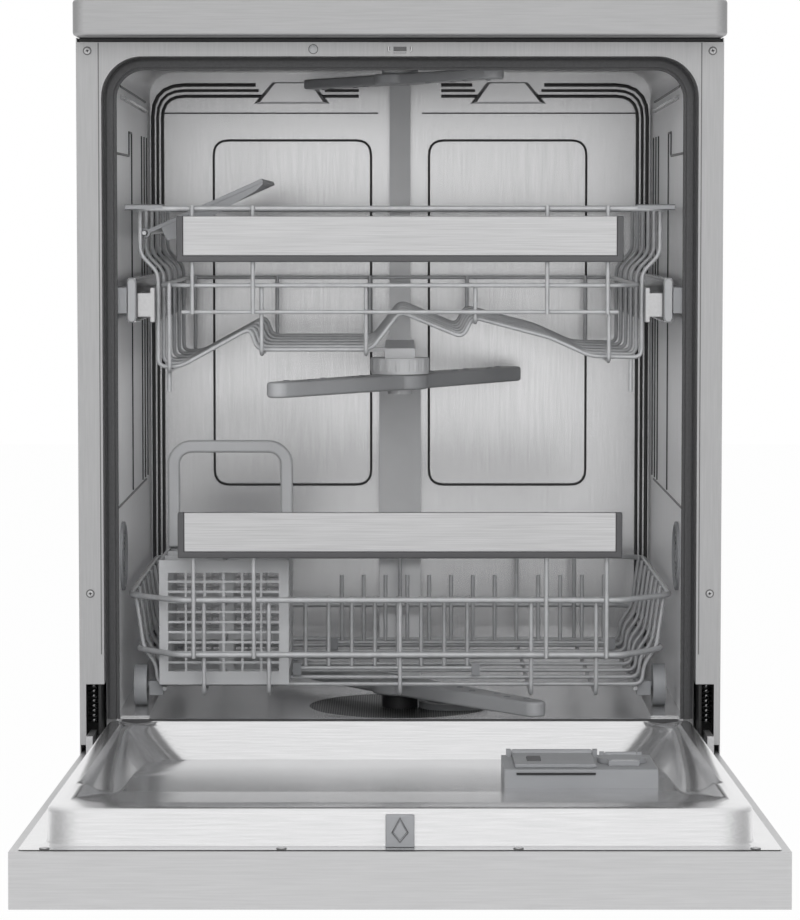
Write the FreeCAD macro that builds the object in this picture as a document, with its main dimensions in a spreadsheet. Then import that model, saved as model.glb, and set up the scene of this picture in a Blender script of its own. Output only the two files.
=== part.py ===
"""Freestanding dishwasher with its door let down, as an assembly of separate pieces.

The origin is on the floor, in the middle of the width and in the plane of the front frame.
+X is to the right of someone who stands in front, +Y runs to the back and +Z is up.
All sizes are millimetres and all angles degrees.
"""

import FreeCAD
import Part
import math
import os
import re
from types import SimpleNamespace

from FreeCAD import Placement, Rotation, Vector

# Driving dimensions, one spreadsheet row each
SIZES = {
    # Cabinet
    "cabinet_width": 598,
    "cabinet_height": 850,
    "cabinet_depth": 555,
    "panel_sheet": 1,
    "worktop_thick": 33,
    "worktop_overhang": 42,
    "worktop_corner": 12,
    "worktop_gap": 4,
    "flange_width": 21,
    "rear_panel_lift": 92,
    "overrun": 5,
    # Base, plinth and feet
    "base_lift": 22,
    "base_height": 70,
    "base_wall": 3,
    "base_setback": 30,
    "kick_thick": 6,
    "kick_lift": 10,
    "foot_radius": 20,
    "foot_pad": 8,
    "foot_stem_radius": 6,
    "foot_inset": 34,
    # Mouth of the tub in the front frame
    "mouth_margin": 23,
    "mouth_head": 13,
    "mouth_corner": 38,
    "mouth_depth": 38,
    "lip_sheet": 1,
    "gasket_width": 11.5,
    "gasket_depth": 9.6,
    "gasket_root": 6,
    "gasket_lip_width": 6,
    "seal_height": 12,
    "seal_thick": 3.4,
    "seal_inset": 14,
    # Tub
    "tub_step": 9,
    "tub_rise": 6,
    "tub_rear_gap": 30,
    "tub_corner": 25,
    "tub_sheet": 0.8,
    "tub_floor": 160,
    "ledge_rise": 22.2,
    "ledge_width": 30,
    "dam_front": 32,
    "dam_thick": 4,
    "dam_rise": 20,
    "emboss_height": 2,
    "emboss_width": 168,
    "emboss_offset": 32,
    "emboss_drop": 73,
    "emboss_bottom": 375,
    "emboss_corner": 18,
    # Sump, filter, pumps and water feed
    "sump_radius": 95,
    "sump_depth": 58,
    "sump_wall": 2.5,
    "sump_rim": 4,
    "arm_centre_shift": 10,
    "arm_hub_radius": 18,
    "arm_axle_radius": 7,
    "filter_radius": 29,
    "filter_offset": 54,
    "filter_height": 46,
    "filter_proud": 6,
    "filter_wall": 2,
    "filter_clearance": 0.3,
    "pump_radius": 26,
    "pump_length": 120,
    "drain_pump_radius": 20,
    "drain_pump_length": 80,
    "duct_width": 22,
    "duct_wide_width": 44,
    "duct_thick": 17,
    "duct_wide_rise": 320,
    "duct_roof_height": 9,
    "valve_width": 40,
    "valve_depth": 45,
    "valve_height": 36,
    "inlet_radius": 13.2,
    "drain_radius": 11,
    "spigot_bore_radius": 8,
    "spigot_reach": 20,
    "spigot_height": 58,
    "spigot_inset": 79,
    "spigot_clearance": 1.5,
    # Hinges
    "pivot_depth": 10,
    "pivot_height": 165,
    "door_open_angle": 88.3,
    "flange_drop": 5,
    "hinge_slot_rise": 52,
    "hinge_slot_margin": 6,
    "hinge_plate": 2.5,
    "hinge_inset": 20,
    "hinge_bracket_back": 46,
    "hinge_bracket_rise": 73,
    "hinge_arm_thick": 6,
    "hinge_arm_gap": 5,
    "hinge_arm_above": 48,
    "hinge_arm_below": 8,
    "hinge_arm_behind": 7,
    "hinge_pin_radius": 4,
    "hinge_pin_clearance": 0.3,
    # Door
    "door_side_gap": 2,
    "door_drop": 40,
    "door_top_gap": 3,
    "door_thick": 44,
    "door_gap": 2,
    "door_sheet": 1,
    "door_return": 14,
    "liner_sheet": 0.8,
    "liner_flange_margin": 6,
    "liner_inset": 25,
    "liner_height": 30,
    "liner_rise": 14,
    "liner_top_setback": 22,
    "liner_corner": 28,
    "liner_foot_corner": 6,
    "pan_depth": 16,
    "pan_margin": 21,
    "pan_rim_rise": 10,
    "pan_top_margin": 37,
    "pan_side_slope": 36,
    "pan_bottom_slope": 176,
    "pan_top_slope": 180,
    "track_side_gap": 2,
    "track_run": 392,
    "track_clearance": 0.6,
    "handle_pocket_half": 90,
    "handle_pocket_drop": 84,
    "handle_pocket_height": 44,
    "handle_pocket_depth": 30,
    "pocket_wall": 2,
    "display_half": 34,
    "display_height": 18,
    "control_drop": 34,
    "display_proud": 0.6,
    "button_radius": 8,
    "button_reach": 6,
    "button_proud": 2,
    "button_clearance": 0.3,
    "button_inset": 67,
    "button_spacing": 120,
    "board_thick": 14,
    "board_inset": 45,
    "board_height": 40,
    "latch_half_width": 11,
    "latch_height": 16,
    "latch_front": 24,
    "latch_lift": 5,
    "strike_half_width": 20,
    "strike_height": 12,
    "strike_thick": 1,
    "strike_slot_half": 9,
    "strike_slot_height": 5,
    "screw_radius": 4,
    "screw_head": 1,
    "frame_screw_drop": 8,
    "frame_screw_rise": 85,
    "frame_plug_place": -80,
    "frame_plug_drop": 6.5,
    "door_screw_inset": 12,
    # Dispenser on the door
    "dispenser_inset": 36,
    "dispenser_width": 128,
    "dispenser_rise": 275,
    "dispenser_height": 102,
    "dispenser_back": -8,
    "dispenser_proud": 15,
    "cup_side": 11,
    "cup_width": 64,
    "cup_end": 12,
    "cup_depth": 28,
    "lid_thick": 3,
    "lid_margin": 2,
    "lid_barrel_radius": 3,
    "lid_ear": 4,
    "lid_ear_gap": 1,
    "lid_pin_radius": 2,
    "lid_clearance": 0.3,
    "cap_side": 27,
    "cap_rise": 50,
    "cap_radius": 21,
    "cap_thick": 4,
    "cap_well_radius": 16,
    "cap_tab_half": 13,
    "cap_tab_length": 8,
    # Wire racks
    "rim_wire": 5.5,
    "rack_wire": 4,
    "rack_front": 43,
    "rack_rear_gap": 33,
    "handle_front": 32,
    "handle_inset": 64,
    "handle_end": 6,
    "handle_strip": 6,
    "handle_bar_height": 37,
    "handle_bar_thick": 4,
    # Upper rack
    "upper_rim_drop": 146,
    "upper_rim_gap": 17,
    "upper_handle_drop": 50,
    "upper_step_drop": 60,
    "upper_step_inset": 21.5,
    "upper_loop_drop": 72,
    "upper_front_drop": 97,
    "upper_front_inset": 23.5,
    "upper_floor_drop": 149,
    "upper_floor_rise": 52,
    "upper_rows_front": 66,
    "upper_rows_gap": 22,
    "upper_leg_length": 22,
    "carrier_web": 5,
    "carrier_height": 33,
    "carrier_front": 50,
    "carrier_rear_gap": 32,
    "roller_block": 60,
    "rail_inset": 19,
    "rail_depth": 8,
    "rail_drop": 65,
    "rail_height": 42,
    "rail_front": 44,
    "rail_web": 2.5,
    "rail_clearance": 0.3,
    "guide_height": 24,
    "feed_width": 30,
    "feed_height": 16,
    "feed_drop": 6,
    "feed_nut_radius": 29,
    "feed_nut_height": 16,
    "feed_ear": 22,
    "feed_ear_thick": 4,
    "arm_cap_height": 5,
    "arm_cap_radius": 12,
    "feed_dock_gap": 0.5,
    "mid_arm_drop": 25,
    "mid_arm_gap": 43,
    "mid_arm_width": 40,
    "arm_thick": 15,
    "arm_tip_width": 22,
    "arm_clearance": 0.4,
    "mid_arm_angle": 237,
    "shelf_drop": 23,
    "shelf_length": 122,
    "shelf_front": 75,
    "shelf_rear_gap": 107,
    "shelf_thick": 4,
    "shelf_tilt": 24,
    "shelf_eye_radius": 5,
    "shelf_eye_length": 14,
    "shelf_eye_bore": 2.6,
    "shelf_slot_width": 9,
    # Lower rack
    "lower_rim_gap": 9,
    "lower_mid_inset": 8,
    "lower_floor_inset": 26,
    "lower_front_inset": 48,
    "lower_floor_rise": 45,
    "lower_step_rise": 20,
    "lower_mid_rise": 34,
    "lower_rim_rise": 86,
    "lower_handle_rise": 127,
    "lower_corner_run": 50,
    "lower_rear_run": 20,
    "lower_rows_front": 95,
    "lower_rows_gap": 30,
    "wheel_radius": 20,
    "wheel_inset": 24,
    "wheel_width": 12,
    "wheel_bore": 4.3,
    "wheel_front": 110,
    "wheel_rear_gap": 62,
    "axle_radius": 4,
    "axle_proud": 1.6,
    "bracket_gap": 2,
    "bracket_half": 9,
    "bracket_below": 9,
    "bracket_above": 4.4,
    "wheel_clearance": 0.3,
    "tine_height": 68,
    "tine_pitch": 22.5,
    "tine_lift": 9,
    "front_tines_gap": 14,
    "rear_tines_start": -60,
    "tine_side_gap": 21,
    "clip_width": 8,
    "clip_half_depth": 5,
    "clip_rise": 5,
    # Cutlery basket
    "cutlery_side_gap": 2.5,
    "cutlery_width": 123.5,
    "cutlery_front": 76,
    "cutlery_depth": 140,
    "cutlery_wall": 2.5,
    "cutlery_window_margin": 10,
    "cutlery_bar": 4,
    "cutlery_handle_width": 12,
    "cutlery_handle_thick": 10,
    # Ceiling and lower spray arms
    "lower_arm_rise": 13,
    "lower_arm_gap": 42,
    "lower_arm_angle": -53,
    "ceiling_arm_drop": 22,
    "ceiling_arm_radius": 178,
    "ceiling_arm_angle": -58,
    "ceiling_arm_thick": 10,
    "ceiling_arm_width": 30,
}

# Counts
UPPER_ROWS = 6
LOWER_ROWS = 8
FRONT_TINES = 8
CUTLERY_COLUMNS = 6
CUTLERY_WINDOW_ROWS = 4
WIRE_SIDES = 8
SCREW_SIDES = 12
FOOT_SIDES = 6
SHELF_SLOTS = 9

# Floor of the upper rack from left to right: share of half the width, share of the rise
UPPER_FLOOR_SHARES = (
    (-1.00, 0.00),
    (-0.91, 0.00),
    (-0.62, 0.70),
    (-0.59, 0.31),
    (-0.12, 0.31),
    (0.00, 1.00),
    (0.26, 0.53),
    (0.30, 0.90),
    (0.62, 0.53),
    (0.79, 0.19),
    (1.00, 0.17),
)
# Lengthwise floor wires, as shares of half the width of each rack's floor
UPPER_LENGTH_SHARES = (-0.95, -0.57, -0.14, 0.31, 0.86)
LOWER_LENGTH_SHARES = (-0.80, -0.535, 0.0, 0.535, 0.80)
HANDLE_STAY_SHARES = (-0.96, -0.68, 0.68, 0.96)
# Screws along the top strip of the door, as shares of its half width
DOOR_SCREW_SHARES = (-0.93, -0.31, 0.31, 0.93)
# Tops of the cutlery basket and of its handle, as shares of the room under the middle spray arm
CUTLERY_TOP_SHARE = 0.44
CUTLERY_HANDLE_SHARE = 0.8255

# Sizes that follow from others, one row each on a second sheet
FITS = {
    # Cabinet, mouth and tub
    "cabinet_half": "cabinet_width / 2",
    "worktop_bottom": "cabinet_height - worktop_thick",
    "frame_top": "worktop_bottom - worktop_gap",
    "flange_inner": "cabinet_half - flange_width",
    "base_top": "base_lift + base_height",
    "spigot_offset": "cabinet_half - spigot_inset",
    "mouth_half": "cabinet_half - mouth_margin",
    "mouth_top": "frame_top - mouth_head",
    "tub_half": "mouth_half - tub_step",
    "tub_top": "mouth_top + tub_rise",
    "tub_front": "mouth_depth + lip_sheet",
    "tub_back": "cabinet_depth - tub_rear_gap",
    "ledge_height": "tub_floor + ledge_rise",
    "dam_top": "tub_floor + dam_rise",
    "emboss_top": "tub_top - emboss_drop",
    "seal_half": "mouth_half - seal_inset",
    "under_floor": "tub_floor - tub_sheet",
    "sump_bottom": "under_floor - sump_depth",
    "pump_line": "under_floor - sump_depth / 2",
    "sump_inner": "sump_radius - sump_wall",
    "arm_centre_depth": "(tub_front + tub_back) / 2 - arm_centre_shift",
    "duct_wide_top": "tub_floor + duct_wide_rise",
    # Hinges and door, drawn shut
    "flange_bottom": "pivot_height - flange_drop",
    "hinge_slot_top": "pivot_height + hinge_slot_rise",
    "hinge_slot_outer": "cabinet_half - hinge_slot_margin",
    "hinge_inner": "cabinet_half - hinge_inset",
    "hinge_outer": "cabinet_half - panel_sheet - hinge_plate",
    "hinge_bracket_top": "pivot_height + hinge_bracket_rise",
    "hinge_arm_inner": "hinge_inner + hinge_arm_gap",
    "door_half": "cabinet_half - door_side_gap",
    "door_bottom": "pivot_height - door_drop",
    "door_top": "worktop_bottom - door_top_gap",
    "door_face": "-door_gap - door_thick",
    "skin_back": "door_face + door_sheet",
    "liner_face": "liner_height - door_gap",
    "flange_face": "liner_sheet - door_gap",
    "liner_half": "door_half - liner_inset",
    "liner_bottom": "pivot_height + liner_rise",
    "liner_top": "door_top - liner_top_setback",
    "pan_half": "liner_half - pan_margin",
    "pan_rim_bottom": "liner_bottom + pan_rim_rise",
    "pan_rim_top": "liner_top - pan_top_margin",
    "pan_floor": "liner_face - pan_depth",
    "handle_pocket_top": "door_top - handle_pocket_drop",
    "control_line": "door_top - control_drop",
    "power_button_place": "button_inset - door_half",
    "start_button_place": "door_half - button_inset",
    "program_button_place": "start_button_place - button_spacing",
    "board_half": "door_half - board_inset",
    "board_front": "door_face + button_reach + button_proud",
    "dispenser_right": "pan_half - dispenser_inset",
    "dispenser_left": "dispenser_right - dispenser_width",
    "dispenser_bottom": "pivot_height + dispenser_rise",
    "dispenser_face": "pan_floor + dispenser_proud",
    "cup_left": "dispenser_left + cup_side",
    "cup_bottom": "dispenser_bottom + cup_end",
    "cup_height": "dispenser_height - 2 * cup_end",
    "cap_centre": "dispenser_right - cap_side",
    "cap_centre_height": "dispenser_bottom + cap_rise",
    "frame_screw_top": "frame_top - frame_screw_drop",
    "frame_screw_bottom": "hinge_slot_top + frame_screw_rise",
    "frame_plug_height": "frame_top - frame_plug_drop",
    # Racks
    "rack_back": "tub_back - rack_rear_gap",
    "handle_half": "tub_half - handle_inset",
    "upper_rim_height": "tub_top - upper_rim_drop",
    "upper_rim_half": "tub_half - upper_rim_gap",
    "upper_handle_bottom": "upper_rim_height - upper_handle_drop",
    "upper_step_bottom": "upper_rim_height - upper_step_drop",
    "upper_side_half": "upper_rim_half - upper_step_inset",
    "upper_loop_height": "upper_rim_height - upper_loop_drop",
    "upper_front_height": "upper_rim_height - upper_front_drop",
    "upper_front_half": "upper_side_half - upper_front_inset",
    "upper_floor": "upper_rim_height - upper_floor_drop",
    "upper_rows_back": "rack_back - upper_rows_gap",
    "rail_inner": "tub_half - rail_inset",
    "rail_outer": "rail_inner + rail_depth",
    "rail_top": "upper_rim_height - rail_drop",
    "rail_bottom": "rail_top - rail_height",
    "rail_back": "rack_back - upper_rows_gap",
    "guide_inner": "rail_outer + rail_clearance",
    "carrier_inner": "upper_side_half + rack_wire / 2",
    "carrier_outer": "rail_inner - rail_clearance",
    "carrier_top": "rail_bottom + carrier_height",
    "carrier_back": "rack_back - carrier_rear_gap",
    "feed_bottom": "upper_floor - feed_drop",
    "mid_arm_bottom": "feed_bottom - mid_arm_drop",
    "mid_arm_top": "mid_arm_bottom + arm_thick",
    "mid_arm_radius": "tub_half - mid_arm_gap",
    "shelf_pivot_height": "upper_rim_height - shelf_drop",
    "shelf_back": "rack_back - shelf_rear_gap",
    "lower_rim_half": "tub_half - lower_rim_gap",
    "lower_mid_half": "lower_rim_half - lower_mid_inset",
    "lower_floor_half": "lower_rim_half - lower_floor_inset",
    "lower_front_half": "lower_rim_half - lower_front_inset",
    "lower_floor_height": "tub_floor + lower_floor_rise",
    "lower_step_height": "lower_floor_height + lower_step_rise",
    "lower_mid_height": "lower_floor_height + lower_mid_rise",
    "lower_rim_height": "lower_floor_height + lower_rim_rise",
    "lower_handle_bottom": "lower_floor_height + lower_handle_rise",
    "lower_rows_back": "rack_back - lower_rows_gap",
    "wheel_inner": "tub_half - wheel_inset",
    "wheel_outer": "wheel_inner + wheel_width",
    "wheel_back": "rack_back - wheel_rear_gap",
    "axle_height": "ledge_height + wheel_clearance + wheel_radius",
    "bracket_outer": "wheel_inner - bracket_gap",
    "track_inner": "wheel_inner - track_side_gap",
    "track_outer": "wheel_outer + track_side_gap",
    "tine_pivot_height": "lower_floor_height + tine_lift",
    "cutlery_left": "cutlery_side_gap - lower_floor_half",
    "cutlery_right": "cutlery_left + cutlery_width",
    "front_tines_start": "cutlery_right + front_tines_gap",
    "cutlery_back": "cutlery_front + cutlery_depth",
    "cutlery_bottom": "lower_floor_height + rack_wire / 2",
    "lower_arm_bottom": "tub_floor + lower_arm_rise",
    "lower_arm_radius": "tub_half - lower_arm_gap",
    "ceiling_arm_bottom": "tub_top - ceiling_arm_drop",
}

doc = FreeCAD.newDocument("dishwasher")
dims = doc.addObject("Spreadsheet::Sheet", "dims")
for row, (alias, value) in enumerate(SIZES.items(), start=1):
    dims.set(f"A{row}", alias)
    dims.set(f"B{row}", str(value))
    dims.setAlias(f"B{row}", alias)
doc.recompute()

WORD = re.compile(r"[a-z][a-z_]*")


def in_fits(word):
    """A word of a formula on the second sheet: its own cells go by their alias alone."""
    return word.group() if word.group() in FITS else "dims." + word.group()


fits = doc.addObject("Spreadsheet::Sheet", "fits")
for row, (alias, formula) in enumerate(FITS.items(), start=1):
    fits.set(f"A{row}", alias)
    fits.setAlias(f"B{row}", alias)
    fits.set(f"B{row}", "=" + WORD.sub(in_fits, formula))
doc.recompute()
d = SimpleNamespace(**{alias: float(dims.get(alias)) for alias in SIZES})
vars(d).update({alias: float(fits.get(alias)) for alias in FITS})

pieces = []


def linked(text):
    """Turn the words of a size formula into references to the sheets' cells."""
    return WORD.sub(lambda word: ("fits." if word.group() in FITS else "dims.") + word.group(), text)


def bind(thing, **formulas):
    """Tie properties of an object to formulas on the sheet."""
    for name, text in formulas.items():
        thing.setExpression(name.replace("__", "."), linked(text))
    return thing


def block(name, x, y, z):
    """A box between pairs of limits, each limit a formula."""
    thing = doc.addObject("Part::Box", name)
    for size, axis, (low, high) in zip(("Length", "Width", "Height"), "xyz", (x, y, z)):
        bind(thing, **{size: f"({high}) - ({low})", "Placement__Base__" + axis: low})
    return thing


def across(side, low, high):
    """Limits along X on the right (side 1), or mirrored to the left (side -1)."""
    return (low, high) if side > 0 else (f"-({high})", f"-({low})")


TURNS = {
    "x": Rotation(Vector(0, 1, 0), 90),
    "y": Rotation(Vector(1, 0, 0), -90),
    "z": Rotation(),
}


def laid(thing, girth, radius, axis, span, at):
    """Set a bar along an axis between two limits, at two formulas across it."""
    low, high = span
    place = dict(zip("xyz".replace(axis, ""), at))
    place[axis] = low
    thing.Placement = Placement(Vector(), TURNS[axis])
    bind(thing, **{girth: radius}, Height=f"({high}) - ({low})")
    for letter, text in place.items():
        bind(thing, **{"Placement__Base__" + letter: text})
    return thing


def rod(name, radius, axis, span, at):
    """A round bar."""
    return laid(doc.addObject("Part::Cylinder", name), "Radius", radius, axis, span, at)


def many_sided(name, sides, radius, axis, span, at):
    """A bar with a regular many-sided outline."""
    thing = doc.addObject("Part::Prism", name)
    thing.Polygon = sides
    return laid(thing, "Circumradius", radius, axis, span, at)


def fused(name, *parts):
    """Several solids joined into one."""
    thing = doc.addObject("Part::MultiFuse", name)
    thing.Shapes = list(parts)
    return thing


def less(name, base, *tools):
    """One solid with others taken away from it."""
    thing = doc.addObject("Part::Cut", name)
    thing.Base = base
    thing.Tool = tools[0] if len(tools) == 1 else fused(name + "_tools", *tools)
    return thing


def formed(name, shape):
    """A shape made from the sheet's sizes in code."""
    thing = doc.addObject("Part::Feature", name)
    thing.Shape = shape
    return thing


def hang_on_door(thing):
    """Swing a piece that is drawn with the door shut to the open angle about the hinge pins."""
    thing.Placement = Placement(Vector(), Rotation(Vector(1, 0, 0), d.door_open_angle))
    angle = "(dims.door_open_angle * 1 deg)"
    across_pivot, up_pivot = "dims.pivot_depth", "dims.pivot_height"
    thing.setExpression("Placement.Rotation.Angle", "dims.door_open_angle")
    thing.setExpression(
        "Placement.Base.y",
        f"{across_pivot} * (1 - cos({angle})) + {up_pivot} * sin({angle})",
    )
    thing.setExpression(
        "Placement.Base.z",
        f"{up_pivot} * (1 - cos({angle})) - {across_pivot} * sin({angle})",
    )


def piece(label, *parts, door=False):
    """A named sub-part of the assembly; its label is also its file's name."""
    thing = doc.addObject("Part::Compound", label)
    thing.Label = label
    thing.Links = list(parts)
    if door:
        hang_on_door(thing)
    pieces.append(thing)
    return thing


def arch(half, top, corner, bottom, front, back):
    """A solid with the outline of a doorway whose top corners are rounded, between two depths."""
    bend = corner * math.sqrt(0.5)
    right, left, shoulder = half - corner, corner - half, top - corner
    points = [Vector(x, front, z) for x, z in ((half, bottom), (half, shoulder), (right, top), (left, top))]
    points += [Vector(x, front, z) for x, z in ((-half, shoulder), (-half, bottom))]
    middle_right = Vector(right + bend, front, shoulder + bend)
    middle_left = Vector(left - bend, front, shoulder + bend)
    edges = [
        Part.LineSegment(points[0], points[1]).toShape(),
        Part.Arc(points[1], middle_right, points[2]).toShape(),
        Part.LineSegment(points[2], points[3]).toShape(),
        Part.Arc(points[3], middle_left, points[4]).toShape(),
        Part.LineSegment(points[4], points[5]).toShape(),
        Part.LineSegment(points[5], points[0]).toShape(),
    ]
    return Part.Face(Part.Wire(edges)).extrude(Vector(0, back - front, 0))


def wire_rod(points, thickness):
    """A wire with an eight-sided section along a bent line, mitred at each bend."""
    line = [Vector(*point) for point in points]
    runs = [(end - start).normalize() for start, end in zip(line, line[1:])]
    upright = Vector(0, 0, 1) if abs(runs[0].z) < math.sqrt(0.5) else Vector(1, 0, 0)
    side = runs[0].cross(upright).normalize()
    upright = side.cross(runs[0])
    reach = thickness / 2 / math.cos(math.pi / WIRE_SIDES)
    turns = [math.pi * (2 * step + 1) / WIRE_SIDES for step in range(WIRE_SIDES)]
    rings = [[line[0] + side * (reach * math.cos(t)) + upright * (reach * math.sin(t)) for t in turns]]
    for index in range(1, len(line)):
        run = runs[index - 1]
        normal = (run + runs[min(index, len(runs) - 1)]).normalize()
        rings.append([p + run * ((line[index] - p).dot(normal) / run.dot(normal)) for p in rings[-1]])
    faces = [Part.Face(Part.makePolygon(ring + ring[:1])) for ring in (rings[0], rings[-1])]
    for near, far in zip(rings, rings[1:]):
        for k in range(WIRE_SIDES):
            corners = [near[k - 1], near[k], far[k], far[k - 1]]
            faces.append(Part.Face(Part.makePolygon(corners + corners[:1])))
    solid = Part.Solid(Part.Shell(faces))
    if solid.Volume < 0:
        solid.reverse()
    return solid


def between(low, high, count):
    """Evenly spaced values from low to high."""
    return [low + (high - low) * step / (count - 1) for step in range(count)]


# Place of the spray arms' axis across and along the tub
CENTRE = ("0", "arm_centre_depth")


def cabinet():
    """Worktop, side and rear panels, plinth, base and feet."""
    slab = block(
        "worktop_slab",
        ("-cabinet_half", "cabinet_half"),
        ("-worktop_overhang", "cabinet_depth"),
        ("worktop_bottom", "cabinet_height"),
    )
    top = doc.addObject("Part::Fillet", "worktop_rounded")
    top.Base = slab
    doc.recompute()
    front_corners = [
        number
        for number, edge in enumerate(slab.Shape.Edges, start=1)
        if edge.BoundBox.YMax < 0 and edge.BoundBox.ZLength > edge.BoundBox.XLength
    ]
    top.Edges = [(number, d.worktop_corner, d.worktop_corner) for number in front_corners]
    piece("worktop", top)
    panels = []
    for side, name in ((-1, "left"), (1, "right")):
        wall = block(
            f"side_wall_{name}",
            across(side, "cabinet_half - panel_sheet", "cabinet_half"),
            ("0", "cabinet_depth"),
            ("base_lift", "worktop_bottom"),
        )
        notch = block(
            f"side_notch_{name}",
            across(side, "cabinet_half - panel_sheet - overrun", "cabinet_half + overrun"),
            ("-overrun", "panel_sheet"),
            ("frame_top", "worktop_bottom + overrun"),
        )
        flange = block(
            f"side_flange_{name}",
            across(side, "flange_inner", "cabinet_half - panel_sheet"),
            ("0", "panel_sheet"),
            ("flange_bottom", "frame_top"),
        )
        slot = block(
            f"hinge_slot_{name}",
            across(side, "flange_inner - overrun", "hinge_slot_outer"),
            ("-overrun", "panel_sheet + overrun"),
            ("flange_bottom - overrun", "hinge_slot_top"),
        )
        panels.append(less(f"side_cut_{name}", fused(f"side_sheet_{name}", wall, flange), slot, notch))
    piece("side_panels", *panels)
    piece(
        "rear_panel",
        block(
            "rear_sheet",
            ("-cabinet_half + panel_sheet", "cabinet_half - panel_sheet"),
            ("cabinet_depth - panel_sheet", "cabinet_depth"),
            ("rear_panel_lift", "worktop_bottom"),
        ),
    )
    inner_half = "cabinet_half - panel_sheet"
    tray = block(
        "tray_block",
        ("-cabinet_half + panel_sheet", inner_half),
        ("base_setback", "cabinet_depth"),
        ("base_lift", "base_top"),
    )
    well = block(
        "tray_well",
        ("-cabinet_half + panel_sheet + base_wall", f"{inner_half} - base_wall"),
        ("base_setback + base_wall", "cabinet_depth - base_wall"),
        ("base_lift + base_wall", "base_top + overrun"),
    )
    ports = [
        rod(
            f"tray_port_{name}",
            f"{radius} + spigot_clearance",
            "y",
            ("cabinet_depth - base_wall - overrun", "cabinet_depth + overrun"),
            (place, "spigot_height"),
        )
        for name, radius, place in (
            ("inlet", "inlet_radius", "spigot_offset"),
            ("drain", "drain_radius", "-spigot_offset"),
        )
    ]
    piece("base_tray", less("tray_cut", tray, well, *ports))
    piece(
        "kickplate",
        block(
            "kick_sheet",
            ("-cabinet_half + panel_sheet", inner_half),
            ("base_setback - kick_thick", "base_setback"),
            ("kick_lift", "base_top"),
        ),
    )
    feet = []
    for index, (sign, depth) in enumerate(
        (sign, depth)
        for sign in ("-", "")
        for depth in ("base_setback + foot_inset", "cabinet_depth - foot_inset")
    ):
        at = (f"{sign}(cabinet_half - foot_inset)", depth)
        pad = many_sided(f"foot_pad_{index}", FOOT_SIDES, "foot_radius", "z", ("0", "foot_pad"), at)
        stem = many_sided(f"foot_stem_{index}", SCREW_SIDES, "foot_stem_radius", "z", ("0", "base_lift"), at)
        feet.append(fused(f"foot_{index}", pad, stem))
    piece("levelling_feet", *feet)


def front_frame():
    """Front plate with the rounded mouth, the recess behind it, its seals, screws and plug."""
    half, top, corner = d.mouth_half, d.mouth_top, d.mouth_corner
    sheet, bottom = d.panel_sheet, d.hinge_slot_top
    frame_half = d.flange_inner
    frame_top = d.frame_top
    back = d.mouth_depth
    plate = Part.makeBox(2 * frame_half, sheet, frame_top - bottom, Vector(-frame_half, 0, bottom))
    recess = arch(half + sheet, top + sheet, corner + sheet, bottom, 0, back)
    opening = arch(half, top, corner, bottom - d.overrun, -d.overrun, back + d.overrun)
    lip_half = half + sheet
    lip_top = d.tub_top + d.tub_sheet
    lip = Part.makeBox(2 * lip_half, d.lip_sheet, lip_top - d.tub_floor, Vector(-lip_half, back, d.tub_floor))
    inset = d.gasket_width - sheet
    inner = arch(half - inset, top - inset, corner - inset, d.tub_floor - d.overrun, 0, back + d.overrun)
    shape = plate.fuse(recess).cut(opening).fuse(lip.cut(inner)).removeSplitter()
    piece("front_frame", formed("frame_sheet", shape))

    width, root = d.gasket_width, d.gasket_root
    front = back - d.gasket_depth
    split = back - root
    foot = arch(half, top, corner, d.dam_top, split, back)
    foot = foot.cut(arch(half - width, top - width, corner - width, d.dam_top - d.overrun, front, back))
    edge = half - (width - d.gasket_lip_width) / 2
    rise = half - edge
    lip = arch(edge, top - rise, corner - rise, d.dam_top, front, split)
    hole = rise + d.gasket_lip_width
    lip = lip.cut(
        arch(half - hole, top - hole, corner - hole, d.dam_top - d.overrun, front - d.overrun, back)
    )
    piece("door_gasket", formed("gasket_ring", foot.fuse(lip).removeSplitter()))

    piece(
        "bottom_seal",
        block(
            "seal_strip",
            ("-seal_half", "seal_half"),
            ("dam_front - seal_thick", "dam_front"),
            ("dam_top - seal_height", "dam_top"),
        ),
    )
    middle = "cabinet_half - flange_width / 2"
    head = ("y", ("-screw_head", "0"))
    screws = [
        many_sided(f"frame_screw_{index}", SCREW_SIDES, "screw_radius", *head, (f"{sign}({middle})", height))
        for index, (sign, height) in enumerate(
            (sign, height) for sign in ("-", "") for height in ("frame_screw_top", "frame_screw_bottom")
        )
    ]
    piece("frame_screws", *screws)
    piece(
        "frame_plug",
        many_sided(
            "plug_disc", SCREW_SIDES, "screw_radius", *head, ("frame_plug_place", "frame_plug_height")
        ),
    )
    plate = block(
        "strike_plate",
        ("-strike_half_width", "strike_half_width"),
        ("-strike_thick", "0"),
        ("mouth_top", "mouth_top + strike_height"),
    )
    slot = block(
        "strike_slot",
        ("-strike_slot_half", "strike_slot_half"),
        ("-strike_thick - overrun", "overrun"),
        ("mouth_top + strike_height / 2 - strike_slot_height / 2",
         "mouth_top + strike_height / 2 + strike_slot_height / 2"),
    )
    piece("latch_strike", less("strike_cut", plate, slot))


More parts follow.
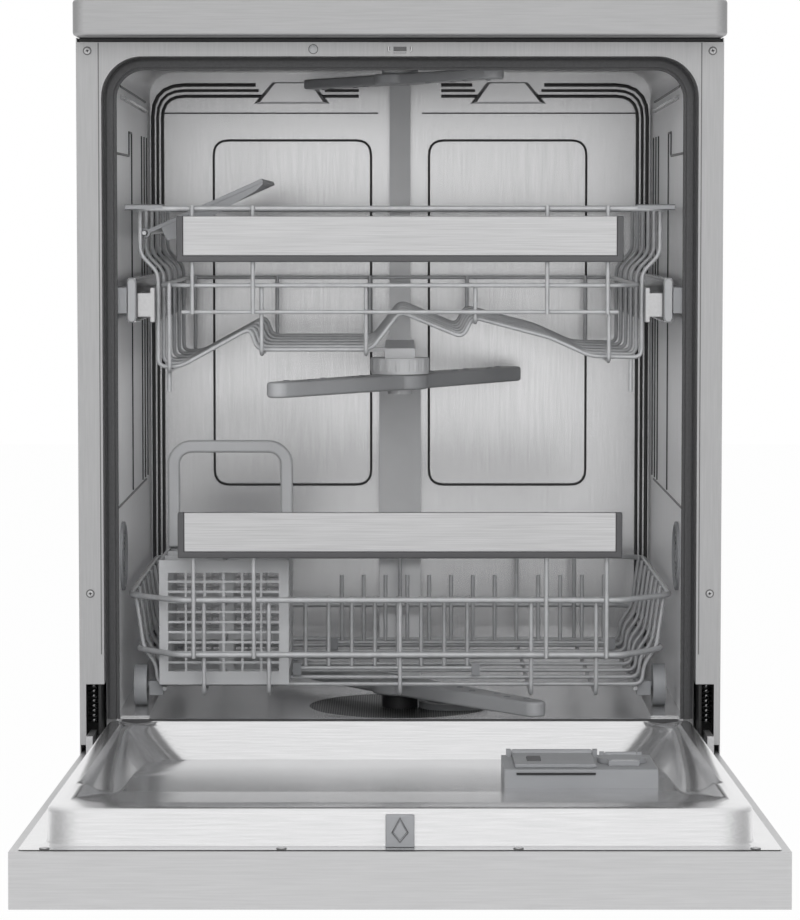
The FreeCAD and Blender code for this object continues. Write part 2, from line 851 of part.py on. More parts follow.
def tub():
    """Stainless tub in three sheets, with the floor's wheel ledges, the front dam and the sump's hole."""
    half, sheet, top, corner = d.tub_half, d.tub_sheet, d.tub_top, d.tub_corner
    front, back, floor = d.tub_front, d.tub_back, d.tub_floor
    outer = arch(half + sheet, top + sheet, corner + sheet, floor, front, back)
    inner = arch(half, top, corner, floor - d.overrun, front - d.overrun, back + d.overrun)
    piece("tub_wrapper", formed("wrapper_sheet", outer.cut(inner)))

    plate = arch(half + sheet, top + sheet, corner + sheet, floor - sheet, back, back + sheet)
    for sign in (-1, 1):
        centre = sign * (d.emboss_offset + d.emboss_width / 2)
        raised = arch(d.emboss_width / 2, d.emboss_top, d.emboss_corner, d.emboss_bottom,
                      back - d.emboss_height, back)
        raised.translate(Vector(centre, 0, 0))
        plate = plate.fuse(raised)
    piece("tub_back", formed("back_sheet", plate.removeSplitter()))

    dam_back = d.dam_front + d.dam_thick
    plate = Part.makeBox(2 * half, back - dam_back, sheet, Vector(-half, dam_back, floor - sheet))
    dam_height = d.dam_top - floor + sheet
    dam = Part.makeBox(2 * half, d.dam_thick, dam_height, Vector(-half, d.dam_front, floor - sheet))
    shape = plate.fuse(dam)
    for sign in (-1, 1):
        low = half - d.ledge_width if sign > 0 else -half
        ledge = Part.makeBox(d.ledge_width, back - front, d.ledge_height - floor, Vector(low, front, floor))
        hollow = Part.makeBox(
            d.ledge_width - 2 * sheet,
            back - front - 2 * sheet,
            d.ledge_height - sheet - floor + sheet + d.overrun,
            Vector(low + sheet, front + sheet, floor - sheet - d.overrun),
        )
        shape = shape.fuse(ledge).cut(hollow)
    hole = Part.makeCylinder(
        d.sump_radius - d.sump_rim,
        2 * d.overrun,
        Vector(0, d.arm_centre_depth, floor - d.overrun),
    )
    piece("tub_floor", formed("floor_sheet", shape.cut(hole).removeSplitter()))


def spray_arm(label, radius, width, tip, thick, bottom, angle):
    """A flat arm that tapers to both rounded tips, with a hub and a bore for its axle."""
    straight = radius - tip / 2
    low, high = width / 2, tip / 2
    corners = [Vector(0, low, 0), Vector(straight, high, 0), Vector(straight, -high, 0)]
    corners += [Vector(0, -low, 0), Vector(-straight, -high, 0), Vector(-straight, high, 0)]
    edges = [
        Part.LineSegment(corners[0], corners[1]).toShape(),
        Part.Arc(corners[1], Vector(radius, 0, 0), corners[2]).toShape(),
        Part.LineSegment(corners[2], corners[3]).toShape(),
        Part.LineSegment(corners[3], corners[4]).toShape(),
        Part.Arc(corners[4], Vector(-radius, 0, 0), corners[5]).toShape(),
        Part.LineSegment(corners[5], corners[0]).toShape(),
    ]
    shape = Part.Face(Part.Wire(edges)).extrude(Vector(0, 0, thick))
    hub = Part.makeCylinder(d.arm_hub_radius + d.arm_clearance + width / 4, thick)
    bore = Part.makeCylinder(d.arm_axle_radius + d.arm_clearance, thick)
    shape = shape.fuse(hub).cut(bore).removeSplitter()
    thing = formed(label + "_body", shape)
    thing.Placement = Placement(
        Vector(0, d.arm_centre_depth, bottom),
        Rotation(Vector(0, 0, 1), angle),
    )
    piece(label, thing)


def water_side():
    """Sump, filter, pumps, inlet valve, drain spigot and the duct up the back wall."""
    bowl = rod("sump_bowl", "sump_radius", "z", ("sump_bottom", "under_floor"), CENTRE)
    well = rod("sump_well", "sump_inner", "z", ("sump_bottom + sump_wall", "under_floor + overrun"), CENTRE)
    post_top = "lower_arm_bottom - arm_clearance"
    post = rod("sump_post", "arm_hub_radius", "z", ("sump_bottom", post_top), CENTRE)
    axle = rod("sump_axle", "arm_axle_radius", "z", ("sump_bottom", "lower_arm_bottom + arm_thick"), CENTRE)
    piece("sump", fused("sump_whole", less("sump_shell", bowl, well), post, axle))

    plate = rod("plate_disc", "sump_inner", "z", ("under_floor - sump_rim", "under_floor"), CENTRE)
    post_hole = rod("plate_post_hole", "arm_hub_radius", "z", ("sump_bottom", "tub_floor"), CENTRE)
    place = ("filter_offset", "arm_centre_depth")
    port = rod("plate_port", "filter_radius + filter_clearance", "z", ("sump_bottom", "tub_floor"), place)
    piece("filter_plate", less("plate_cut", plate, post_hole, port))

    filter_bottom = "under_floor - filter_height"
    filter_top = "under_floor + filter_proud"
    can = rod("filter_can", "filter_radius", "z", (filter_bottom, filter_top), place)
    hollow = rod(
        "filter_hollow",
        "filter_radius - filter_wall",
        "z",
        (f"{filter_bottom} + filter_wall", f"{filter_top} + overrun"),
        place,
    )
    collar = rod(
        "filter_collar",
        "filter_radius + filter_proud",
        "z",
        ("under_floor", filter_top),
        place,
    )
    grip = block(
        "filter_grip",
        ("filter_offset - filter_radius", "filter_offset + filter_radius"),
        ("arm_centre_depth - filter_wall", "arm_centre_depth + filter_wall"),
        (f"{filter_top} - filter_proud", filter_top),
    )
    cup = less("filter_cup", fused("filter_outer", can, collar), hollow)
    piece("filter_cartridge", fused("filter_whole", cup, grip))

    for name, sign, radius, length in (
        ("circulation_pump", "", "pump_radius", "pump_length"),
        ("drain_pump", "-", "drain_pump_radius", "drain_pump_length"),
    ):
        span = ("0", f"sump_radius + {length}") if not sign else (f"-sump_radius - {length}", "0")
        motor = rod(name + "_motor", radius, "x", span, ("arm_centre_depth", "pump_line"))
        room = rod(name + "_room", "sump_radius", "z", ("sump_bottom", "under_floor"), CENTRE)
        piece(name, less(name + "_seat", motor, room))

    back = "cabinet_depth - base_wall"
    for name, place, radius in (
        ("inlet_valve", "spigot_offset", "inlet_radius"),
        ("drain_spigot", "-spigot_offset", "drain_radius"),
    ):
        body = block(
            name + "_body",
            (f"{place} - valve_width / 2", f"{place} + valve_width / 2"),
            (f"{back} - valve_depth", back),
            ("base_lift + base_wall", "base_lift + base_wall + valve_height + spigot_height / 2"),
        )
        reach = (back, "cabinet_depth + spigot_reach")
        nose = rod(name + "_nose", radius, "y", reach, (place, "spigot_height"))
        bore = rod(
            name + "_bore",
            "spigot_bore_radius",
            "y",
            (f"{back} - valve_depth / 2", "cabinet_depth + spigot_reach + overrun"),
            (place, "spigot_height"),
        )
        piece(name, less(name + "_cut", fused(name + "_solid", body, nose), bore))

    face = "tub_back - duct_thick"
    narrow = block(
        "duct_narrow",
        ("-duct_width / 2", "duct_width / 2"),
        (face, "tub_back"),
        ("duct_wide_top", "tub_top"),
    )
    wide = block(
        "duct_wide",
        ("-duct_wide_width / 2", "duct_wide_width / 2"),
        (face, "tub_back"),
        ("tub_floor", "duct_wide_top"),
    )
    roof = block(
        "duct_roof",
        ("-duct_width / 2", "duct_width / 2"),
        ("arm_centre_depth - duct_width / 2", "tub_back"),
        ("tub_top - duct_roof_height", "tub_top"),
    )
    boss = rod(
        "duct_boss",
        "arm_hub_radius",
        "z",
        ("ceiling_arm_bottom + ceiling_arm_thick + arm_clearance", "tub_top"),
        CENTRE,
    )
    axle = rod("duct_axle", "arm_axle_radius", "z", ("ceiling_arm_bottom", "tub_top"), CENTRE)
    piece("feed_duct", fused("duct_whole", narrow, wide, roof, boss, axle))


def hinges():
    """Hinge brackets behind the flanges and the arms that carry the door on their pins."""
    pivot = ("pivot_depth", "pivot_height")
    outer = "hinge_outer"
    brackets, arms = [], []
    for side, name in ((-1, "left"), (1, "right")):
        cheeks = []
        for where, low in (("inner", "hinge_inner"), ("outer", outer)):
            cheeks.append(
                block(
                    f"cheek_{where}_{name}",
                    across(side, low, f"{low} + hinge_plate"),
                    ("panel_sheet", "hinge_bracket_back"),
                    ("flange_bottom", "hinge_bracket_top"),
                )
            )
        bridge = block(
            f"hinge_bridge_{name}",
            across(side, "hinge_inner", f"{outer} + hinge_plate"),
            ("hinge_bracket_back - hinge_plate", "hinge_bracket_back"),
            ("flange_bottom", "hinge_bracket_top"),
        )
        pin = rod(
            f"hinge_pin_{name}",
            "hinge_pin_radius",
            "x",
            across(side, "hinge_inner", f"{outer} + hinge_plate"),
            pivot,
        )
        brackets.append(fused(f"hinge_frame_{name}", *cheeks, bridge, pin))
        thick = ("hinge_arm_inner", "hinge_arm_inner + hinge_arm_thick")
        arm = block(
            f"hinge_bar_{name}",
            across(side, *thick),
            ("flange_face", "pivot_depth + hinge_arm_behind"),
            ("pivot_height - hinge_arm_below", "pivot_height + hinge_arm_above"),
        )
        wide = ("hinge_arm_inner - overrun", "hinge_arm_inner + hinge_arm_thick + overrun")
        bore = rod(
            f"hinge_bore_{name}",
            "hinge_pin_radius + hinge_pin_clearance",
            "x",
            across(side, *wide),
            pivot,
        )
        arms.append(less(f"hinge_arm_cut_{name}", arm, bore))
    piece("hinge_brackets", *brackets)
    piece("hinge_arms", *arms, door=True)


def door_outline(half, low, high, depth, corner_low, corner_high):
    """A closed outline across the door at one depth, with rounded corners."""
    bend = 1 - math.sqrt(0.5)
    spots = (
        (half, low, corner_low, (-1, 0), (0, 1)),
        (half, high, corner_high, (0, -1), (-1, 0)),
        (-half, high, corner_high, (1, 0), (0, -1)),
        (-half, low, corner_low, (0, 1), (1, 0)),
    )
    ends = []
    for x, z, corner, before, after in spots:
        start = Vector(x + before[0] * corner, depth, z + before[1] * corner)
        end = Vector(x + after[0] * corner, depth, z + after[1] * corner)
        inward = (before[0] + after[0], before[1] + after[1])
        middle = Vector(x + inward[0] * corner * bend, depth, z + inward[1] * corner * bend)
        ends.append((start, middle, end))
    edges = []
    for index, (start, middle, end) in enumerate(ends):
        edges.append(Part.LineSegment(ends[index - 1][2], start).toShape())
        edges.append(Part.Arc(start, middle, end).toShape())
    return Part.Wire(edges)


def liner_hat(shrink):
    """The raised block of the inner door before the pan is pressed in, drawn in by a sheet if asked."""
    base, face = -d.door_gap, d.liner_face - shrink
    half, low, top = d.liner_half - shrink, d.liner_bottom + shrink, d.liner_top - shrink
    outline = door_outline(half, low, top, base, d.liner_foot_corner - shrink, d.liner_corner - shrink)
    return Part.Face(outline).extrude(Vector(0, face - base, 0))


def liner_pan(grow):
    """The pressed hollow of the inner door, with a wheel track on each side that lies level when open."""
    face = d.liner_face
    slope = math.tan(math.radians(90 - d.door_open_angle))
    bed, mouth = d.pan_half - d.pan_side_slope + grow, d.pan_half + grow
    low, high = d.pan_rim_bottom - grow, d.pan_rim_top + grow
    shape = Part.makeWedge(
        -bed, d.pan_floor - grow, low + d.pan_bottom_slope, low, -mouth,
        bed, face, high - d.pan_top_slope, high, mouth,
    )
    start, end = d.liner_bottom - d.overrun, d.liner_bottom + d.track_run
    level = d.pivot_depth + (d.ledge_height - d.track_clearance - d.pivot_height) - grow
    for side in (-1, 1):
        low = d.track_inner - grow if side > 0 else -d.track_outer - grow
        near = level - slope * (start - d.pivot_height)
        far = level - slope * (end + grow - d.pivot_height)
        profile = [
            Vector(low, near, start),
            Vector(low, far, end + grow),
            Vector(low, face + d.overrun, end + grow),
            Vector(low, face + d.overrun, start),
        ]
        track = Part.Face(Part.makePolygon(profile + profile[:1]))
        shape = shape.fuse(track.extrude(Vector(d.track_outer - d.track_inner + 2 * grow, 0, 0)))
    return shape


def dispenser_block():
    """The outer block of the dispenser, which is also the hole it sits in."""
    return Part.makeBox(
        d.dispenser_width,
        d.dispenser_face - d.dispenser_back,
        d.dispenser_height,
        Vector(d.dispenser_left, d.dispenser_back, d.dispenser_bottom),
    )


def door():
    """Outer casing and pressed inner liner of the door, with its screws, latch, handle and controls."""
    edge = "door_half"
    casing = block(
        "casing_block",
        (f"-{edge}", edge),
        ("door_face", "-door_gap"),
        ("door_bottom", "door_top"),
    )
    hollow = block(
        "casing_hollow",
        (f"-{edge} + door_sheet", f"{edge} - door_sheet"),
        ("skin_back", "-door_gap - door_sheet"),
        ("door_bottom + door_sheet", "door_top - door_sheet"),
    )
    window = block(
        "casing_window",
        (f"-{edge} + door_return", f"{edge} - door_return"),
        ("-door_gap - door_sheet - overrun", "-door_gap + overrun"),
        ("door_bottom + door_return", "door_top - door_return"),
    )
    pocket_limits = (
        ("-handle_pocket_half", "handle_pocket_half"),
        ("door_face", "door_face + handle_pocket_depth"),
        ("handle_pocket_top - handle_pocket_height", "handle_pocket_top"),
    )
    screen_limits = (
        ("-display_half", "display_half"),
        ("door_face - display_proud", "board_front"),
        ("control_line - display_height / 2", "control_line + display_height / 2"),
    )
    buttons = (
        ("button_power", "power_button_place"),
        ("button_program", "program_button_place"),
        ("button_start", "start_button_place"),
    )
    holes = [
        rod(
            name + "_hole",
            "button_radius + button_clearance",
            "y",
            ("door_face - overrun", "skin_back + overrun"),
            (place, "control_line"),
        )
        for name, place in buttons
    ]
    openings = [block("pocket_hole", *pocket_limits), block("screen_hole", *screen_limits)]
    piece("door_outer_panel", less("casing_cut", casing, hollow, window, *openings, *holes), door=True)

    for name, place in buttons:
        cap = rod(
            name + "_cap",
            "button_radius",
            "y",
            ("door_face - button_proud", "door_face + button_reach"),
            (place, "control_line"),
        )
        piece(name, cap, door=True)
    piece("display_window", block("screen", *screen_limits), door=True)
    shell = block("pocket_shell", *pocket_limits)
    grip = block(
        "pocket_grip",
        ("-handle_pocket_half + pocket_wall", "handle_pocket_half - pocket_wall"),
        ("door_face - overrun", "door_face + handle_pocket_depth - pocket_wall"),
        ("handle_pocket_top - handle_pocket_height + pocket_wall", "handle_pocket_top - pocket_wall"),
    )
    piece("handle_pocket", less("pocket_cut", shell, grip), door=True)
    board = block(
        "board_case",
        ("-board_half", "board_half"),
        ("board_front", "board_front + board_thick"),
        ("control_line - board_height / 2", "control_line + board_height / 2"),
    )
    feet = [
        block(
            f"board_foot_{name}",
            across(side, "board_half - board_thick / 2", "board_half"),
            ("skin_back", "board_front"),
            ("control_line - board_height / 2", "control_line + board_height / 2"),
        )
        for side, name in ((-1, "left"), (1, "right"))
    ]
    piece("control_board", fused("board_whole", board, *feet), door=True)

    margin, base, sheet = d.liner_flange_margin, -d.door_gap, d.liner_sheet
    half = d.door_half - margin
    rise = d.door_top - d.door_bottom - 2 * margin
    flange = Part.makeBox(2 * half, sheet, rise, Vector(-half, base, d.door_bottom + margin))
    room = liner_hat(sheet).cut(liner_pan(sheet))
    hat = liner_hat(0)
    liner = flange.fuse(hat).cut(liner_pan(0)).cut(room).cut(dispenser_block()).removeSplitter()
    piece("door_liner", formed("liner_sheet_metal", liner), door=True)

    strip = "door_top - liner_flange_margin - door_screw_inset / 2"
    heads = [
        many_sided(
            f"door_screw_{index}",
            SCREW_SIDES,
            "screw_radius",
            "y",
            ("flange_face", "flange_face + screw_head"),
            (f"{share} * (door_half - liner_flange_margin)", strip),
        )
        for index, share in enumerate(DOOR_SCREW_SHARES)
    ]
    piece("door_screws", *heads, door=True)

    latch = Part.makeBox(
        2 * d.latch_half_width,
        d.latch_front - base - sheet,
        d.latch_height,
        Vector(-d.latch_half_width, base + sheet, d.liner_top + d.latch_lift - d.latch_height),
    )
    piece("latch_housing", formed("latch_case", latch.cut(hat)), door=True)


def dispenser():
    """Detergent and rinse-aid dispenser: body with a cup and a well, and the two lids on their pins."""
    face = d.dispenser_face
    out = Vector(0, 1, 0)
    along = Vector(1, 0, 0)
    cup = Part.makeBox(
        d.cup_width,
        d.cup_depth,
        d.cup_height,
        Vector(d.cup_left, face - d.cup_depth, d.cup_bottom),
    )
    well = Part.makeCylinder(
        d.cap_well_radius,
        d.cup_depth,
        Vector(d.cap_centre, face - d.cup_depth, d.cap_centre_height),
        out,
    )
    body = dispenser_block().cut(cup).cut(well)
    lid_face = face + d.lid_clearance
    barrel, reach = d.lid_barrel_radius, d.lid_ear_gap + d.lid_ear
    line = lid_face + barrel
    cup_right = d.cup_left + d.cup_width
    lids = (
        ("detergent_lid", d.cup_left - d.lid_margin, cup_right + d.lid_margin, d.cup_bottom - d.lid_margin),
        (
            "rinse_aid_cap",
            d.cap_centre - d.cap_tab_half,
            d.cap_centre + d.cap_tab_half,
            d.cap_centre_height - d.cap_radius,
        ),
    )
    for label, low, high, hinge in lids:
        start, width = Vector(low, line, hinge), high - low
        tube = Part.makeCylinder(barrel, width, start, along)
        bore = Part.makeCylinder(d.lid_pin_radius + d.lid_clearance, width, start, along)
        if label == "detergent_lid":
            height = d.cup_height + 2 * d.lid_margin
            plate = Part.makeBox(width, d.lid_thick, height, Vector(low, lid_face, hinge))
        else:
            plate = Part.makeCylinder(
                d.cap_radius, d.cap_thick, Vector(d.cap_centre, lid_face, d.cap_centre_height), out
            )
            tab = Part.makeBox(
                width,
                d.cap_thick,
                d.cap_radius + d.cap_tab_length,
                Vector(low, lid_face, d.cap_centre_height),
            )
            plate = plate.fuse(tab)
        piece(label, formed(label + "_plate", plate.fuse(tube).cut(bore).removeSplitter()), door=True)
        height = line + barrel - face
        for x in (low - reach, high + d.lid_ear_gap):
            ear = Part.makeBox(d.lid_ear, height, 2 * barrel, Vector(x, face, hinge - barrel))
            body = body.fuse(ear)
        start = Vector(low - reach, line, hinge)
        body = body.fuse(Part.makeCylinder(d.lid_pin_radius, width + 2 * reach, start, along))
    piece("dispenser_body", formed("dispenser_case", body.removeSplitter()), door=True)


def ring(half, height, thick, front_half, front_run, back_run):
    """A closed wire loop round a rack in two halves, with its front and rear corners cut off."""
    front, back = d.rack_front + thick / 2, d.rack_back - thick / 2
    middle = (front + back) / 2
    back_half = half - back_run
    near = [(-half, middle), (-half, front + front_run), (-front_half, front)]
    near += [(-x, y) for x, y in reversed(near)]
    far = [(half, middle), (half, back - back_run), (back_half, back)]
    far += [(-x, y) for x, y in reversed(far)]
    return [wire_rod([(x, y, height) for x, y in line], thick) for line in (near, far)]


def rack_handle(name, bottom):
    """Handle across a rack's front: a steel bar let into a plastic frame with a strip below."""
    back = "rack_front - rack_wire"
    top = f"{bottom} + handle_strip + handle_bar_height"
    bar_limits = (
        ("-handle_half", "handle_half"),
        ("handle_front", "handle_front + handle_bar_thick"),
        (f"{bottom} + handle_strip", top),
    )
    frame = block(
        name + "_handle_block",
        ("-handle_half - handle_end", "handle_half + handle_end"),
        ("handle_front", back),
        (bottom, top),
    )
    piece(name + "_handle_frame", less(name + "_handle_seat", frame, block(name + "_bar_room", *bar_limits)))
    piece(name + "_handle_bar", block(name + "_bar", *bar_limits))


def stays(bottom, top):
    """Upright wires that carry a handle in front of a rack's loops."""
    place = d.rack_front - d.rack_wire / 2
    return [
        wire_rod([(share * d.handle_half, place, bottom), (share * d.handle_half, place, top)], d.rack_wire)
        for share in HANDLE_STAY_SHARES
    ]


def upper_floor_at(x):
    """Height and slope of the upper rack's floor wires at a place across it."""
    points = [(p * d.upper_side_half, d.upper_floor + q * d.upper_floor_rise) for p, q in UPPER_FLOOR_SHARES]
    for (x_low, z_low), (x_high, z_high) in zip(points, points[1:]):
        if x_low <= x <= x_high:
            slope = (z_high - z_low) / (x_high - x_low)
            return z_low + slope * (x - x_low), slope


def upper_length_height(x):
    """Height of a lengthwise wire that runs under the upper rack's floor."""
    height, slope = upper_floor_at(x)
    return height - d.rack_wire * math.hypot(1, slope)


def upper_rack():
    """Upper wire rack with its carriers, rails, guides, feed pipe, spray arm and cup shelf."""
    wire, rim = d.rack_wire, d.rim_wire
    inside = d.upper_rim_half - (rim + wire) / 2
    side = d.upper_side_half
    top = d.upper_rim_height + rim / 2
    floor = [(p * side, d.upper_floor + q * d.upper_floor_rise) for p, q in UPPER_FLOOR_SHARES]
    flank = [(inside, d.upper_step_bottom + inside - side), (inside, top)]
    profile = [(-x, z) for x, z in reversed(flank)] + [(-side, d.upper_step_bottom)] + floor
    profile += [(side, d.upper_step_bottom)] + flank
    rows = between(d.upper_rows_front, d.upper_rows_back, UPPER_ROWS)
    wires = [wire_rod([(x, row, z) for x, z in profile], wire) for row in rows]
    corner = rim + wire
    wires += ring(d.upper_rim_half, d.upper_rim_height, rim, d.upper_rim_half - corner, corner, corner)
    loop = side - wire
    wires += ring(loop, d.upper_loop_height, wire, d.upper_front_half, loop - d.upper_front_half, corner)
    front = d.rack_front + wire / 2
    span = d.upper_front_half
    wires.append(wire_rod([(-span, front, d.upper_front_height), (span, front, d.upper_front_height)], wire))
    near, far = d.rack_front + wire * 3 / 2, d.rack_back - wire * 3 / 2
    lift = d.upper_loop_height + wire / 2
    for share in UPPER_LENGTH_SHARES:
        x = share * side
        low = upper_length_height(x)
        wires.append(wire_rod([(x, near, lift), (x, near, low), (x, far, low), (x, far, lift)], wire))
    wires += stays(d.upper_front_height - wire / 2, top)
    leg_top = d.upper_floor - wire / 2
    leg = side * (1 + UPPER_FLOOR_SHARES[1][0]) / 2
    for x in (leg - side, side - leg):
        base = upper_floor_at(x)[0] - wire / 2
        wires.append(wire_rod([(x, rows[0], base), (x, rows[0], leg_top - d.upper_leg_length)], wire))
    pivot = (wire - inside, d.shelf_pivot_height)
    line = [(pivot[0], rows[0] - wire, pivot[1]), (pivot[0], rows[-1] + wire, pivot[1])]
    wires.append(wire_rod(line, wire))
    piece("upper_basket", formed("upper_wires", Part.makeCompound(wires)))
    rack_handle("upper", "upper_handle_bottom")

    carriers, rails, guides = [], [], []
    for hand, name in ((-1, "left"), (1, "right")):
        web = block(
            f"carrier_web_{name}",
            across(hand, "carrier_inner", "carrier_inner + carrier_web"),
            ("carrier_front", "carrier_back"),
            ("rail_bottom", "carrier_top"),
        )
        blocks = [
            block(
                f"carrier_block_{name}_{place}",
                across(hand, "carrier_inner", "carrier_outer"),
                limits,
                ("rail_bottom + carrier_web", "carrier_top - carrier_web"),
            )
            for place, limits in (
                ("front", ("carrier_front", "carrier_front + roller_block")),
                ("rear", ("carrier_back - roller_block", "carrier_back")),
            )
        ]
        carriers.append(fused(f"carrier_{name}", web, *blocks))
        rail = block(
            f"rail_block_{name}",
            across(hand, "rail_inner", "rail_outer"),
            ("rail_front", "rail_back"),
            ("rail_bottom", "rail_top"),
        )
        channel = block(
            f"rail_channel_{name}",
            across(hand, "rail_inner - overrun", "rail_outer - rail_web"),
            ("rail_front - overrun", "rail_back + overrun"),
            ("rail_bottom + rail_web", "rail_top - rail_web"),
        )
        rails.append(less(f"rail_{name}", rail, channel))
        middle = "(rail_bottom + rail_top) / 2"
        guides.append(
            block(
                f"guide_strip_{name}",
                across(hand, "guide_inner", "tub_half"),
                ("tub_front", "rail_back"),
                (f"{middle} - guide_height / 2", f"{middle} + guide_height / 2"),
            )
        )
    piece("rack_carriers", *carriers)
    piece("upper_rails", *rails)
    piece("rail_guides", *guides)

    pipe = block(
        "feed_channel",
        ("-feed_width / 2", "feed_width / 2"),
        ("arm_centre_depth - feed_width / 2", "tub_back - duct_thick - feed_dock_gap"),
        ("feed_bottom", "feed_bottom + feed_height"),
    )
    nut_bottom = "mid_arm_top + arm_clearance"
    nut = rod("feed_nut", "feed_nut_radius", "z", (nut_bottom, f"{nut_bottom} + feed_nut_height"), CENTRE)
    cap_bottom = "mid_arm_bottom - arm_cap_height"
    axle = rod("feed_axle", "arm_axle_radius", "z", (cap_bottom, "feed_bottom"), CENTRE)
    cap = rod(
        "feed_cap",
        "arm_cap_radius",
        "z",
        (cap_bottom, "mid_arm_bottom - arm_clearance"),
        CENTRE,
    )
    near_wire = UPPER_LENGTH_SHARES[2] * side
    ear_top = upper_length_height(near_wire) - wire / 2
    ear = Part.makeBox(
        d.feed_ear,
        d.feed_ear,
        d.feed_ear_thick,
        Vector(-d.feed_width / 2 - d.feed_ear, d.arm_centre_depth, ear_top - d.feed_ear_thick),
    )
    piece("upper_feed_pipe", fused("feed_whole", pipe, nut, axle, cap, formed("feed_ear_plate", ear)))

    slab = Part.makeBox(
        d.shelf_length,
        d.shelf_back - d.shelf_front,
        d.shelf_thick,
        Vector(0, d.shelf_front, -d.shelf_thick / 2),
    )
    step = (d.shelf_back - d.shelf_front) / SHELF_SLOTS
    first = d.shelf_front + d.shelf_slot_width / 2
    slots = [
        Part.makeBox(
            d.shelf_length - 4 * d.shelf_eye_radius,
            step - d.shelf_slot_width,
            d.shelf_thick,
            Vector(3 * d.shelf_eye_radius, first + k * step, -d.shelf_thick / 2),
        )
        for k in range(SHELF_SLOTS)
    ]
    gap = d.shelf_eye_radius + wire
    clear = Part.makeBox(
        2 * gap, d.shelf_back - d.shelf_front, 2 * gap, Vector(-gap, d.shelf_front, -gap)
    )
    plate = slab.cut(Part.makeCompound(slots)).cut(clear)
    out = Vector(0, 1, 0)
    for end in (d.shelf_front, d.shelf_back - d.shelf_eye_length):
        arm = Part.makeBox(2 * gap, d.shelf_eye_length, d.shelf_thick, Vector(0, end, -d.shelf_thick / 2))
        eye = Part.makeCylinder(d.shelf_eye_radius, d.shelf_eye_length, Vector(0, end, 0), out)
        bore = Part.makeCylinder(d.shelf_eye_bore, d.shelf_eye_length, Vector(0, end, 0), out)
        plate = plate.fuse(arm.fuse(eye).cut(bore))
    shelf = formed("shelf_plate", plate.removeSplitter())
    shelf.Placement = Placement(Vector(pivot[0], 0, pivot[1]), Rotation(Vector(0, 1, 0), -d.shelf_tilt))
    piece("cup_shelf", shelf)


def tine_row(label, start, count, row):
    """A comb of upright tines on a bar that turns in two clips."""
    wire, height = d.rack_wire, d.tine_pivot_height
    last = start + (count - 1) * d.tine_pitch
    reach = d.clip_width + wire
    bar = wire_rod([(start - reach, row, height), (last + reach, row, height)], wire)
    low = height + wire / 2
    places = [start + k * d.tine_pitch for k in range(count)]
    tines = [wire_rod([(x, row, low), (x, row, low + d.tine_height)], wire) for x in places]
    piece(label, formed(label + "_wires", Part.makeCompound([bar] + tines)))
    seat = d.lower_floor_height + wire / 2
    clips = []
    for x in (start - reach, last + wire):
        clip = Part.makeBox(
            d.clip_width,
            2 * d.clip_half_depth,
            height + d.clip_rise - seat,
            Vector(x, row - d.clip_half_depth, seat),
        )
        bore = Part.makeCylinder(d.shelf_eye_bore, d.clip_width, Vector(x, row, height), Vector(1, 0, 0))
        clips.append(clip.cut(bore))
    return clips


